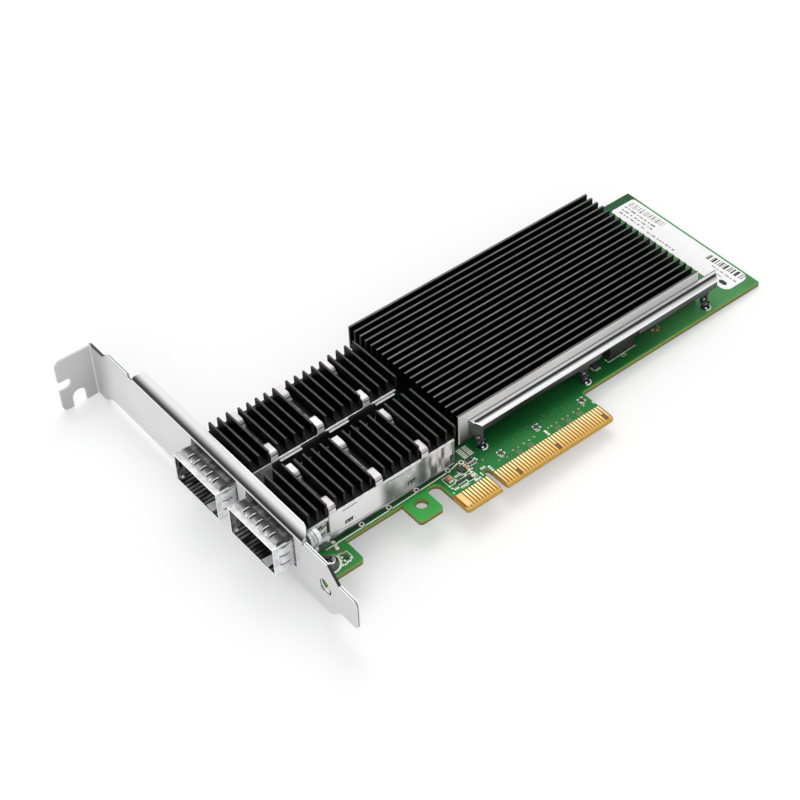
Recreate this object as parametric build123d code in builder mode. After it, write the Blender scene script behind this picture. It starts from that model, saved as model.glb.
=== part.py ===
"""Dual-port network interface card, low-profile, as separate solids in millimetres.

Frame: origin at the centre of the key notch on the lower edge of the edge connector, mid-thickness.
+X runs from the bracket to the far end, +Y from the contacts to the top edge, +Z out of the component side.
"""
import os
from build123d import *

os.makedirs("parts", exist_ok=True)

# Board
BOARD_T = 1.57
TOP = BOARD_T / 2
BOARD_RIGHT = 109.7
BOARD_UP = 68.0
BOARD_LOW = 12.9
EDGE_L, EDGE_R = -12.6, 39.15
TAB_L, TAB_R, TAB_LOW = -24.6, -16.65, 5.0
END_TAB_R, END_TAB_LOW = -43.1, 4.8
SLOT_TOP = 13.14
KEY_W, KEY_TOP = 1.9, 8.41
TAB_HOLE = (-20.4, 9.9)
TAB_HOLE_R = 1.7
BEVEL_L, BEVEL_D = 1.3, 0.45

# Edge contacts
PAD_W, PAD_LOW, PAD_HIGH, PAD_T = 0.64, 1.35, 6.25, 0.04
SHORT_LOW = 3.1

# Bracket
SHEET = 0.86
FACE_X = -57.5
SHELF_Y = 109.3
STEP_LOW, STEP_HIGH = (2.9, 8.3), (6.1, 9.9)
TAB_DEPTH = 11.43
TAB_Z = (-8.75, 9.67)
STRIP_Z = (-5.58, 12.84)
TONGUE_Z = (-1.47, 8.72)
TIP_Y = SHELF_Y - 120.02
FLANGE_X = FACE_X + 4.2
FLANGE_Y = (11.0, 88.8)
SCREW_X = FACE_X + 6.3
SCREW_Y = (9.3, 62.6)

# Ports
PORT_Y = {1: 49.35, 2: 24.75}
CAGE_W, CAGE_WALL = 19.0, 0.25
CAGE_X = (FACE_X - 6.0, -4.85)
CAGE_Z = (TOP, 9.9)
COLLAR_X = (FACE_X - 6.1, FACE_X + 0.6)
FINGERS_X = (FACE_X - 3.9, FACE_X - 0.4)
SLITS_X = (FACE_X - 4.1, FACE_X - 1.7)
SLIT_FIRST = CAGE_W / 2 - 4.0
SLIT_PITCH, SLITS = 2.78, 5
COLLAR_T = 0.2
COLLAR_BOW = 0.76

# Port heat sinks: fin centres, in four groups with a clip band in each gap
FIN_GROUPS = ((-51.9, -49.2, -46.4), (-43.0, -40.2, -37.4, -34.6, -31.75),
              (-27.4, -24.55, -21.7, -18.85, -16.1), (-12.85, -10.0, -7.15, -4.3))
FIN_T, FIN_TOP = 0.6, 14.5
SINK_X = (-52.7, -3.95)
SINK_BASE = (CAGE_Z[1], 10.6)
SINK_HALF = CAGE_W / 2 - 0.2
FIN_HALF = (SINK_HALF, SINK_HALF - 0.55, SINK_HALF - 0.55, SINK_HALF)
BANDS_X = (-44.85, -29.8, -14.65)
BAND_W, BAND_T = 2.1, 0.45
HUMP_TOP = 13.2
CLIP_T = 0.3
CLIP_X = (-46.0, -4.9)
LATCHES_X, LATCH_W, LATCH_Z = (-40.0, -19.5), 2.6, (4.0, 5.2)

# Main heat sink
MAIN_X = (0.2, 90.1)
MAIN_Y = (19.45, 66.75)
MAIN_TOP = 11.56
MAIN_BASE = (3.5, 5.6)
MAIN_FINS, MAIN_FIN_T = 20, 0.75
SIDE_LOW = 1.2

# Hold-down bar
BAR_X = (3.5, 97.6)
BAR_Y = (16.0, 19.45)
BAR_TOP, BAR_T = 7.8, 0.8
BAR_REAR = 8.25
LIP_LOW = 5.5
LIP_GAP_X = (49.0, 63.7)
BAR_TAPER = 2.1
LEGS_X = (42.9, 90.0)
LEG_W, LEG_LOW = 2.4, 1.35
ANCHORS_X = (5.1, *LEGS_X)

# Bracket screws, anchor wires
HEAD_R, HEAD_H, HEAD_EDGE = 2.6, 1.7, 0.75
WIRE, WIRE_TOP = 0.65, 2.6

# Small parts on the component side: (x, y, length along X, length along Y, height)
TALL_BLOCK = (53.9, 63.2, 17.4, 22.4, 6.0)
CAPACITORS = ((-9.65, 11.65, 1.35, 1.7, 0.95), (-3.45, 11.75, 0.8, 1.7, 0.7), (71.4, 18.2, 1.0, 0.5, 0.5),
              (72.6, 17.4, 1.0, 0.5, 0.5), (73.6, 18.3, 0.5, 1.0, 0.5), (-46.15, 9.6, 0.9, 0.5, 0.45))
RESISTORS = ((-8.65, 9.2, 0.45, 1.1, 0.3), (-7.87, 9.2, 0.45, 1.1, 0.3), (-7.1, 9.2, 0.45, 1.1, 0.3),
             (-6.33, 9.2, 0.45, 1.1, 0.3), (-1.83, 12.2, 0.45, 0.8, 0.3), (-1.07, 12.2, 0.45, 0.8, 0.3),
             (-0.3, 12.2, 0.45, 0.8, 0.3))
SMALL_CHIPS = ((-46.4, 8.25, 0.9, 1.2, 0.45), (-5.0, 12.3, 1.3, 1.9, 0.6), (-4.94, 8.87, 1.0, 1.5, 0.35),
               (-1.05, 13.7, 1.9, 0.75, 0.35), (6.95, 10.05, 1.1, 1.0, 0.45), (20.6, 11.0, 1.1, 1.1, 0.45),
               (36.8, 10.6, 1.1, 1.1, 0.45), (48.8, 17.75, 2.0, 1.7, 1.1))
LABEL = (99.35, 109.0, 16.2, 64.9, 2.4, 0.1)
PORT_SIDE = PORT_Y[2] - CAGE_W / 2
PIPE_ROD = (FACE_X + 3.1, FACE_X + 6.1, PORT_SIDE - 2.3, 9.2, 2.1)
PIPE_ARM = (FACE_X + 3.6, -46.7, PORT_SIDE - 1.0, PORT_SIDE - 0.15, 4.0)
LED_CENTRES = ((-46.0, PORT_SIDE - 1.05), (-46.2, PORT_SIDE - 2.25))


def block(x0, x1, y0, y1, z0, z1, mode=Mode.ADD):
    """Rectangular volume between two corners in the card frame."""
    with Locations(((x0 + x1) / 2, (y0 + y1) / 2, (z0 + z1) / 2)):
        return Box(x1 - x0, y1 - y0, z1 - z0, mode=mode)


def disc(x, y, r, z0, z1, mode=Mode.ADD):
    """Upright cylinder between two heights."""
    with Locations((x, y, (z0 + z1) / 2)):
        return Cylinder(r, z1 - z0, mode=mode)


def along_x(points, x0, x1, mode=Mode.ADD):
    """Prism with a (Y, Z) outline, running along X."""
    with BuildSketch(Plane.YZ.offset(x0)) as outline:
        with BuildLine():
            Polyline(*points, close=True)
        make_face()
    return extrude(outline.sketch, amount=x1 - x0, mode=mode)


def along_y(points, y0, y1, mode=Mode.ADD):
    """Prism with an (X, Z) outline, running along Y."""
    with BuildSketch(Plane.XZ.offset(-y1)) as outline:
        with BuildLine():
            Polyline(*points, close=True)
        make_face()
    return extrude(outline.sketch, amount=y1 - y0, mode=mode)


def along_z(points, z0, z1, mode=Mode.ADD):
    """Prism with an (X, Y) outline, running along Z."""
    with BuildSketch(Plane.XY.offset(z0)) as outline:
        with BuildLine():
            Polyline(*points, close=True)
        make_face()
    return extrude(outline.sketch, amount=z1 - z0, mode=mode)


def upright_edges(part, x, y, tol=0.05):
    """Edges parallel to Z that stand at one (x, y) position."""
    found = part.edges().filter_by(Axis.Z)
    return found.filter_by(lambda e: abs(e.center().X - x) < tol and abs(e.center().Y - y) < tol)


def save(name, part):
    part.label = name
    export_step(part, f"parts/{name}.step")


def board():
    slot_r = (EDGE_L - TAB_R) / 2
    slot_x = (EDGE_L + TAB_R) / 2
    slot_y = SLOT_TOP - slot_r
    with BuildPart() as p:
        block(FACE_X + SHEET, BOARD_RIGHT, BOARD_LOW, BOARD_UP, -TOP, TOP)
        block(EDGE_L, EDGE_R, 0, BOARD_LOW, -TOP, TOP)
        block(TAB_L, TAB_R, TAB_LOW, BOARD_LOW, -TOP, TOP)
        block(FACE_X + SHEET, END_TAB_R, END_TAB_LOW, BOARD_LOW, -TOP, TOP)
        block(TAB_R, EDGE_L, slot_y, BOARD_LOW, -TOP, TOP)
        disc(slot_x, slot_y, slot_r, -TOP, TOP, Mode.SUBTRACT)
        block(-KEY_W / 2, KEY_W / 2, -1, KEY_TOP - KEY_W / 2, -TOP, TOP, Mode.SUBTRACT)
        disc(0, KEY_TOP - KEY_W / 2, KEY_W / 2, -TOP, TOP, Mode.SUBTRACT)
        disc(*TAB_HOLE, TAB_HOLE_R, -TOP, TOP, Mode.SUBTRACT)
        for y in SCREW_Y:
            disc(SCREW_X, y, 1.6, -TOP, TOP, Mode.SUBTRACT)
        corners = [(TAB_L, TAB_LOW, 1.0), (TAB_R, TAB_LOW, 1.2), (END_TAB_R, END_TAB_LOW, 1.2),
                   (EDGE_R, BOARD_LOW, 0.8), (EDGE_R, 0, 0.8), (EDGE_L, 0, 0.8)]
        for x, y, r in corners:
            fillet(upright_edges(p.part, x, y), r)
        for s in (1, -1):
            along_x([(-0.5, s * (TOP + 0.1)), (BEVEL_L, s * (TOP + 0.1)), (BEVEL_L, s * TOP),
                     (0, s * (TOP - BEVEL_D)), (-0.5, s * (TOP - BEVEL_D))],
                    EDGE_L - 0.1, EDGE_R + 0.1, Mode.SUBTRACT)
    save("board", p.part)


def contacts(name, side, short):
    z0, z1 = (TOP, TOP + PAD_T) if side > 0 else (-TOP - PAD_T, -TOP)
    with BuildPart() as p:
        if side > 0:
            block(-11.95, -10.15, PAD_LOW, PAD_HIGH, z0, z1)
            pins = range(3, 50)
        else:
            pins = range(1, 50)
        for n in pins:
            x = -11.5 + (n - 1) if n < 12 else 1.5 + (n - 12)
            low = SHORT_LOW if n in short else PAD_LOW
            block(x - PAD_W / 2, x + PAD_W / 2, low, PAD_HIGH, z0, z1)
    save(name, p.part)


def bracket():
    back = FACE_X + SHEET
    outer = SHELF_Y + SHEET
    za, zb = STRIP_Z
    ta, tb = TAB_Z
    ka, kb = TONGUE_Z
    low_end, low_start = (SHELF_Y - d for d in STEP_LOW)
    high_end, high_start = (SHELF_Y - d for d in STEP_HIGH)
    outline = [(outer, ta), (low_end, ta), (low_start, za), (0.4, za), (-3.6, ka), (TIP_Y, ka), (TIP_Y, kb),
               (-3.6, kb), (0.5, zb), (FLANGE_Y[0] - 0.9, zb), (FLANGE_Y[0] - 0.9, zb - 1.4),
               (FLANGE_Y[1] + 1.1, zb - 1.4), (FLANGE_Y[1] + 1.1, zb), (high_start, zb), (high_end, tb),
               (outer, tb)]
    with BuildPart() as p:
        along_x(outline, FACE_X, back)
        tip = p.edges().filter_by(Axis.X).filter_by(lambda e: e.center().Y < TIP_Y + 0.05)
        fillet(tip, 1.6)
        # inward flange: rounded bend, slanted lower end, rounded upper corner
        y0, y1 = FLANGE_Y
        with BuildSketch(Plane.XZ.offset(-y1)) as profile:
            with BuildLine():
                Polyline((FACE_X, zb - 1.6), (FACE_X, zb), (FLANGE_X, zb), (FLANGE_X, zb - SHEET),
                         (back, zb - SHEET), (back, zb - 1.6), close=True)
            make_face()
            fillet(profile.vertices().sort_by_distance((FACE_X, zb))[0], 1.1)
            fillet(profile.vertices().sort_by_distance((back, zb - SHEET))[0], 0.3)
        extrude(profile.sketch, amount=y1 - y0)
        along_z([(FACE_X + 1.3, y0 - 1), (FACE_X + 1.3, y0), (FLANGE_X - 0.5, y0 + 3.0), (FLANGE_X, y0 + 4.6),
                 (FLANGE_X + 1, y0 + 4.6), (FLANGE_X + 1, y0 - 1)], zb - SHEET - 0.01, zb + 1, Mode.SUBTRACT)
        along_z([(FLANGE_X - 1.8, y1 + 1), (FLANGE_X - 1.8, y1), (FLANGE_X - 0.5, y1 - 0.5),
                 (FLANGE_X, y1 - 1.8),
                 (FLANGE_X + 1, y1 - 1.8), (FLANGE_X + 1, y1 + 1)], zb - SHEET - 0.01, zb + 1, Mode.SUBTRACT)
        # screw tab
        block(FACE_X - TAB_DEPTH, FACE_X + SHEET / 2, SHELF_Y, outer, ta, tb)
        edge_x = FACE_X - TAB_DEPTH
        for z, r in ((tb, 2.6), (ta, 1.5)):
            e = p.edges().filter_by(Axis.Y)
            e = e.filter_by(lambda k: abs(k.center().X - edge_x) < 0.05 and abs(k.center().Z - z) < 0.05)
            fillet(e, r)
        notch_x = FACE_X - 6.35 + 0.43
        with Locations((notch_x, SHELF_Y + SHEET / 2, ta + 5.3 - 2.21)):
            Cylinder(2.21, 2 * SHEET, rotation=(90, 0, 0), mode=Mode.SUBTRACT)
        block(notch_x - 2.21, notch_x + 2.21, SHELF_Y - 1, outer + 1, ta - 1, ta + 5.3 - 2.21, Mode.SUBTRACT)
        slot_z = ta + 9.35
        block(edge_x - 1, edge_x + 2.4, SHELF_Y - 1, outer + 1, slot_z - 1.55, slot_z + 1.55, Mode.SUBTRACT)
        with Locations((edge_x + 2.4, SHELF_Y + SHEET / 2, slot_z)):
            Cylinder(1.55, 2 * SHEET, rotation=(90, 0, 0), mode=Mode.SUBTRACT)
        # rounded outside of the tab bend
        e = p.edges().filter_by(Axis.Z)
        e = e.filter_by(lambda k: abs(k.center().X - back) < 0.02 and abs(k.center().Y - outer) < 0.02)
        fillet(e, 0.8)
        # openings for the two port collars
        for y in PORT_Y.values():
            half = CAGE_W / 2 + 0.95
            with BuildSketch(Plane.YZ.offset(FACE_X - 0.1)):
                with Locations((y, (0.0 + 10.75) / 2)):
                    RectangleRounded(2 * half, 10.75, 0.8)
            extrude(amount=SHEET + 0.2, mode=Mode.SUBTRACT)
        # indicator window
        with Locations((FACE_X + SHEET / 2, 2.3, 3.4)):
            Cylinder(2.35, 2 * SHEET, rotation=(0, 90, 0), mode=Mode.SUBTRACT)
    save("bracket", p.part)


def bracket_lugs():
    back = FACE_X + SHEET
    with BuildPart() as p:
        for y in SCREW_Y:
            block(back, SCREW_X + 3.6, y - 3.6, y + 3.6, -TOP - 1.5, -TOP)
            block(back, back + 1.2, y - 3.6, y + 3.6, -5.2, -TOP)
            disc(SCREW_X, y, 1.5, -TOP - 1.5, -TOP, Mode.SUBTRACT)
    save("bracket_lugs", p.part)


def bracket_screws():
    with BuildPart() as p:
        for y in SCREW_Y:
            disc(SCREW_X, y, HEAD_R, TOP, TOP + HEAD_H)
            disc(SCREW_X, y, 1.48, -TOP - 2.2, TOP)
        rims = p.edges().filter_by(GeomType.CIRCLE)
        rims = rims.filter_by(lambda e: abs(e.center().Z - TOP - HEAD_H) < 0.01)
        chamfer(rims, HEAD_EDGE)
        for y in SCREW_Y:
            for a in (20, 110):
                with Locations(Location((SCREW_X, y, TOP + HEAD_H - 0.35), (0, 0, a))):
                    Box(2.7, 0.55, 0.8, mode=Mode.SUBTRACT)
    save("bracket_screws", p.part)


def cage(n):
    """Stamped port cage: open mouth, top window for the heat sink, floor cut away under the socket."""
    y = PORT_Y[n]
    h = CAGE_W / 2
    w = CAGE_WALL
    x0, x1 = CAGE_X
    z0, z1 = CAGE_Z
    with BuildPart() as p:
        block(x0, x1, y - h, y + h, z0, z1)
        block(x0 - 1, x1 - w, y - h + w, y + h - w, z0 + w, z1 - w, Mode.SUBTRACT)
        block(-50.5, -8.0, y - h + 1.9, y + h - 1.9, z1 - 1, z1 + 1, Mode.SUBTRACT)
        block(-26.5, x1 - 1.5, y - h + w, y + h - w, z0 - 1, z0 + 1, Mode.SUBTRACT)
        for s in (-1, 1):
            for x in (-52.3, -50.0):
                # long slits that free the ground springs
                side = y + s * (h - w / 2)
                block(x - 3.2, x + 0.6, side - w, side + w, 7.6 - (x + 52.3), 7.95 - (x + 52.3), Mode.SUBTRACT)
    save(f"cage_{n}_shell", p.part)


def collar(n):
    """Spring-finger collar round the mouth of a cage, bowed out to meet the bracket opening."""
    y = PORT_Y[n]
    h = CAGE_W / 2
    z0, z1 = CAGE_Z
    x0, x1 = COLLAR_X
    t = COLLAR_T
    f0, f1 = FINGERS_X
    bow = [(x0, t), (f0 - 0.7, t + 0.02), (f0 + 0.1, 0.72 * COLLAR_BOW), (f0 + 0.8, COLLAR_BOW),
           (f0 + 1.5, 0.97 * COLLAR_BOW), (f1 - 0.8, 0.66 * COLLAR_BOW), (x1, 0.45 * COLLAR_BOW)]
    under = [(x, max(0.0, d - t)) for x, d in bow]
    loop = bow + under[::-1]
    with BuildPart() as p:
        along_y([(x, z1 + d) for x, d in loop], y - h + 1.1, y + h - 0.6)
        along_y([(x, z0 - d) for x, d in loop], y - h + 0.6, y + h - 0.6)
        along_z([(x, y - h - d) for x, d in loop], z0 + 0.4, z1 - 0.4)
        along_z([(x, y + h + d) for x, d in loop], z0 + 0.4, z1 - 0.4)
        with BuildSketch(Plane.YZ.offset(x0)):
            with Locations((y, (z0 + z1) / 2)):
                Rectangle(2 * (h + t), z1 - z0 + 2 * t)
                Rectangle(2 * h, z1 - z0, mode=Mode.SUBTRACT)
        extrude(amount=f0 - 0.3 - x0)
        # folded corner bar along the near top edge
        block(x0, f1 + 0.2, y - h - t, y - h, z1 - 0.5, z1 + t)
        s0, s1 = SLITS_X
        for k in range(SLITS):
            yy = y + SLIT_FIRST - k * SLIT_PITCH
            for z in (z1 + 0.5, z0 - 0.5):
                block(s0, s1, yy - 0.14, yy + 0.14, z - 0.6, z + 0.6, Mode.SUBTRACT)
        for k in (1, 2):
            zz = z0 + k * (z1 - z0) / 3
            for s in (-1, 1):
                yy = y + s * (h + 0.5)
                block(s0, s1 + 0.4, yy - 0.6, yy + 0.6, zz - 0.14, zz + 0.14, Mode.SUBTRACT)
    save(f"emi_collar_{n}", p.part)


def host_connector(n):
    """Socket inside the rear of a cage, with the slot that takes the module's card edge."""
    y = PORT_Y[n]
    with BuildPart() as p:
        half = CAGE_W / 2 - 0.7
        block(-24.5, -6.6, y - half, y + half, TOP, 8.6)
        block(-25, -16.5, y - half + 1.6, y + half - 1.6, 4.2, 5.5, Mode.SUBTRACT)
        block(-25, -21.5, y - half - 0.1, y + half + 0.1, 7.2, 9, Mode.SUBTRACT)
    save(f"host_connector_{n}", p.part)


def port_heat_sink(n):
    y = PORT_Y[n]
    x0, x1 = SINK_X
    zb, zt = SINK_BASE
    with BuildPart() as p:
        boss = CAGE_W / 2 - 2.2
        block(x0, x1, y - SINK_HALF, y + SINK_HALF, zb, zt)
        block(-50.2, -8.3, y - boss, y + boss, zb - CAGE_WALL, zb)
        for group, half in zip(FIN_GROUPS, FIN_HALF):
            for x in group:
                block(x - FIN_T / 2, x + FIN_T / 2, y - half, y + half, zt - 0.1, FIN_TOP)
    save(f"port_heat_sink_{n}", p.part)


def heat_sink_clip(n):
    """One-piece spring clip: two side walls joined by three humped bands between the fin groups."""
    y = PORT_Y[n]
    h = CAGE_W / 2
    zt = SINK_BASE[1]
    top, t = HUMP_TOP, BAND_T
    line = [(h + CLIP_T, 9.0), (h + CLIP_T, top - 1.0), (h + 0.05, top - 0.35), (h - 0.4, top), (h - 3.4, top),
            (h - 4.0, top - 0.25), (h - 5.2, zt + 0.9), (h - 6.6, zt + t)]
    low = [(h, 9.0), (h, top - 1.1), (h - 0.15, top - 0.7), (h - 0.55, top - t), (h - 3.3, top - t),
           (h - 3.7, top - 0.6), (h - 4.9, zt + 0.55), (h - 6.5, zt)]
    upper = [(y - a, z) for a, z in line] + [(y + a, z) for a, z in line[::-1]]
    lower = [(y + a, z) for a, z in low] + [(y - a, z) for a, z in low[::-1]]
    with BuildPart() as p:
        for x in BANDS_X:
            along_x(upper + lower, x - BAND_W / 2, x + BAND_W / 2)
        for s in (-1, 1):
            a, b = sorted((y + s * h, y + s * (h + CLIP_T)))
            block(*CLIP_X, a, b, 1.9, 10.4)
            for x in LATCHES_X:
                block(x - LATCH_W / 2, x + LATCH_W / 2, a - 1, b + 1, *LATCH_Z, Mode.SUBTRACT)
    save(f"heat_sink_clip_{n}", p.part)


def main_heat_sink():
    x0, x1 = MAIN_X
    y0, y1 = MAIN_Y
    pitch = (y1 - y0 - MAIN_FIN_T) / (MAIN_FINS - 1)
    with BuildPart() as p:
        block(x0, x1, y0, y1, *MAIN_BASE)
        block(x0, x1, y0, y0 + MAIN_FIN_T, SIDE_LOW, MAIN_BASE[0] + 0.1)
        for k in range(MAIN_FINS):
            a = y0 + k * pitch
            block(x0, x1, a, a + MAIN_FIN_T, MAIN_BASE[1] - 0.1, MAIN_TOP)
        block(29.0, 57.0, 29.0, 57.0, 3.1, MAIN_BASE[0])
        # pocket for the tall block that stands partly under the edge
        block(TALL_BLOCK[0] - 0.6, TALL_BLOCK[1] + 0.6, y0 - 1, TALL_BLOCK[3] + 0.6, 0, TALL_BLOCK[4] + 0.5,
              Mode.SUBTRACT)
    save("main_heat_sink", p.part)


def hold_down_bar():
    """Pressed bar beside the heat sink, with a valley, a turned-down lip and three hooked legs."""
    y0, y1 = BAR_Y
    t, b = BAR_TOP, BAR_TOP - BAR_T
    lift = BAR_REAR - BAR_TOP
    section = [(y1, t + lift), (y1 - 1.0, t + lift - 0.1), (y1 - 1.4, t - 0.05), (y1 - 1.9, t + 0.15),
               (y0 + 0.5, t), (y0, t - 0.35), (y0, LIP_LOW), (y0 + BAR_T, LIP_LOW), (y0 + BAR_T, b - 0.3),
               (y1 - 1.9, b - 0.2), (y1 - 1.4, b - 0.3), (y1 - 1.0, b + lift - 0.1), (y1, b + lift)]
    x0, x1 = BAR_X
    with BuildPart() as p:
        along_x(section, x0, x1)
        for end, tip, s in ((x0, x0 + BAR_TAPER, -1), (x1, x1 - 3.0, 1)):
            along_z([(end + s, y1 + 0.2), (end, y1 + 0.2), (tip, y0 - 0.2), (end + s, y0 - 0.2)],
                    LIP_LOW - 1, t + 1, Mode.SUBTRACT)
        block(*LIP_GAP_X, y0 - 0.1, y0 + 0.9, LIP_LOW - 1, t - 0.8, Mode.SUBTRACT)
        # the first leg is the tapered end folded down, narrowed to a hook on its contact side
        skew = BAR_TAPER / (y1 - y0)
        end_at = lambda y: x0 + (y1 - y) * skew
        near, middle, far = y0 + 0.02, y0 + 1.7, y1 - 0.3
        for a, c, z0 in ((near, far, 3.4), (near, middle, LEG_LOW)):
            along_z([(end_at(a), a), (end_at(c), c), (end_at(c) + BAR_T, c), (end_at(a) + BAR_T, a)],
                    z0, t - 0.4)
        along_x([(near + 0.5, 2.6), (near + 1.3, 2.6), (near + 1.3, 3.8), (near + 0.5, 3.8)],
                x0, x0 + 4, Mode.SUBTRACT)
        for x in LEGS_X:
            w = LEG_W / 2
            along_y([(x - w - 0.9, LIP_LOW + 0.4), (x - w, 4.4), (x - w, 2.5), (x - 0.55, 2.5),
                     (x - 0.55, LEG_LOW), (x + 0.55, LEG_LOW), (x + 0.55, 2.5), (x + w, 2.5), (x + w, 4.4),
                     (x + w + 0.9, LIP_LOW + 0.4)], y0, y0 + BAR_T)
            block(x - 0.5, x + 0.5, y0 - 1, y0 + 1, 3.2, 4.6, Mode.SUBTRACT)
            block(x - 0.55, x + 0.55, y0 - 0.85, y0 + 0.1, LEG_LOW, 2.0)
        a = ANCHORS_X[0]
        block(a - 0.1, a + 0.6, y0 - 0.85, y0 + 0.1, LEG_LOW, 2.0)
    save("hold_down_bar", p.part)


def bar_anchors():
    """Loops of square wire soldered to the board; each one catches the hook of a leg."""
    y = BAR_Y[0] - 0.4
    half, bend, under = 1.4, 0.3, WIRE_TOP - 0.55
    inner = half - WIRE
    with BuildPart() as p:
        for x in ANCHORS_X:
            along_y([(x - half, TOP), (x - half, WIRE_TOP - bend), (x - half + bend, WIRE_TOP),
                     (x + half - bend, WIRE_TOP), (x + half, WIRE_TOP - bend), (x + half, TOP),
                     (x + inner, TOP), (x + inner, under), (x - inner, under), (x - inner, TOP)],
                    y - WIRE / 2, y + WIRE / 2)
    save("bar_anchors", p.part)


def chips(name, items):
    with BuildPart() as p:
        for x, y, dx, dy, h in items:
            block(x - dx / 2, x + dx / 2, y - dy / 2, y + dy / 2, TOP, TOP + h)
    save(name, p.part)


def controller():
    """Package and lid of the controller, with the pad that joins it to the heat sink."""
    lid = TOP + 2.0
    with BuildPart() as p:
        block(30.5, 55.5, 30.5, 55.5, TOP, TOP + 1.2)
        block(34.0, 52.0, 34.0, 52.0, TOP + 1.2, lid)
    save("controller_chip", p.part)
    with BuildPart() as p:
        block(34.0, 52.0, 34.0, 52.0, lid, 3.1)
    save("thermal_pad", p.part)


def light_pipe():
    x0, x1, y, z, r = PIPE_ROD
    a, b, c, d, h = PIPE_ARM
    with BuildPart() as p:
        with Locations(((x0 + x1) / 2, y, z)):
            Cylinder(r, x1 - x0, rotation=(0, 90, 0))
        chamfer(p.edges().filter_by(GeomType.CIRCLE).sort_by(Axis.X)[0], 0.4)
        with Locations((x0 - 0.2, y, z)):
            Cylinder(r - 0.8, 1.0, rotation=(0, 90, 0), mode=Mode.SUBTRACT)
        block(x0 + 0.6, x1 - 0.4, y - 0.6, d, h - 0.5, z)
        with Locations((x0 + 1.4, y - 0.4, h + 0.9)):
            Cylinder(0.9, 1.9, rotation=(0, 90, 0))
        block(a, b, c, d, TOP, h)
    save("light_pipe", p.part)


def label():
    x0, x1, y0, y1, r, t = LABEL
    with BuildPart() as p:
        block(x0, x1, y0, y1, TOP, TOP + t)
        for x in (x0, x1):
            for y in (y0, y1):
                fillet(upright_edges(p.part, x, y), r if y == y0 else 1.0)
    save("label", p.part)


board()
contacts("contacts_top", 1, (17, 31, 48))
contacts("contacts_bottom", -1, (1,))
bracket()
bracket_lugs()
bracket_screws()
for port in PORT_Y:
    cage(port)
    collar(port)
    host_connector(port)
    port_heat_sink(port)
    heat_sink_clip(port)
main_heat_sink()
hold_down_bar()
bar_anchors()
controller()
light_pipe()
label()
chips("indicator_leds", [(x, y, 1.0, 0.6, 0.5) for x, y in LED_CENTRES])
chips("tall_block", [((TALL_BLOCK[0] + TALL_BLOCK[1]) / 2, (TALL_BLOCK[2] + TALL_BLOCK[3]) / 2,
                      TALL_BLOCK[1] - TALL_BLOCK[0], TALL_BLOCK[3] - TALL_BLOCK[2], TALL_BLOCK[4] - TOP)])
chips("chip_capacitors", CAPACITORS)
chips("chip_resistors", RESISTORS)
chips("small_chips", SMALL_CHIPS)
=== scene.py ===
import math

import bmesh
import bpy
from mathutils import Matrix, Vector


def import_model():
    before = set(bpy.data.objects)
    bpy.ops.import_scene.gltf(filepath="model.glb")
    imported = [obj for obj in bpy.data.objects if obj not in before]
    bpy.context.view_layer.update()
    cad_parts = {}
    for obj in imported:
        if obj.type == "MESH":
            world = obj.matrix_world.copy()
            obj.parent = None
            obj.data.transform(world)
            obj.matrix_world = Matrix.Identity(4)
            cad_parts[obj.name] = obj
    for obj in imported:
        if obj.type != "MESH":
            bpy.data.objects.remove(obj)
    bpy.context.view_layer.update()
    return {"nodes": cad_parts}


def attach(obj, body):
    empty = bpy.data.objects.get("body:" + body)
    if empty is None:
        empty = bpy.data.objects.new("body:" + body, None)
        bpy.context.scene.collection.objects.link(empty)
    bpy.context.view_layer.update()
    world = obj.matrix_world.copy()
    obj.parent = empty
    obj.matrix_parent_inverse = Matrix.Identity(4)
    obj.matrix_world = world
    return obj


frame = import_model()

MM = 0.001
SUNK = -0.01  # how deep the small detail sits in its surface

# Places and sizes of the card in millimetres, in the shared frame
TOP = 0.785  # component side of the board
TAB_HOLE = (-20.4, 9.9)
CONTACTS_END = 6.33
FIRST_CONTACT, CONTACT_PITCH = 0.5, 1.0
MISSING_CONTACTS = (6.5, 20.5, 37.5)
FACE_X = -57.5  # outer face of the bracket
MOUTH_X = -63.5  # front edge of the ports
WINDOW, WINDOW_RADIUS = (2.3, 3.4), 2.3
SCREW = (-51.2, 9.3)
LENS = (-54.4, 12.95, 9.2)  # middle of the light pipe's round front
PORTS = (24.75, 49.35)  # middle lines of the two ports, along Y
CAVITY_HALF, CAGE_HALF = 9.2, 9.5
FIRST_SLIT, SLIT_PITCH = 5.42, 2.78  # slits of a collar, from the port's middle line
PLATE_Y = 14.95  # wall of the near clip, towards the contacts
BANDS_X = (-44.5, -29.45, -14.3)  # bands of the clips
LATCHES_X = (-40.0, -19.5)  # openings in the near clip wall
SINK_Y, FIN_PITCH, FIN_THICK = 19.45, 2.45, 0.75  # large heat sink
BAR_REAR_Y = 19.28  # edge of the bar beside the large heat sink
FEET_X = (5.1, 42.9, 90.0)  # feet of the bar
RINGED_HOLES = [(x, 14.45) for x in (-36.6, -27.65, -18.4, -7.7, -3.1)]
BRIGHT_PIN = (-46.28, 12.12)
SMALL_CHIPS = ((6.95, 10.05), (20.6, 11.0), (36.8, 10.6))


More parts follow.
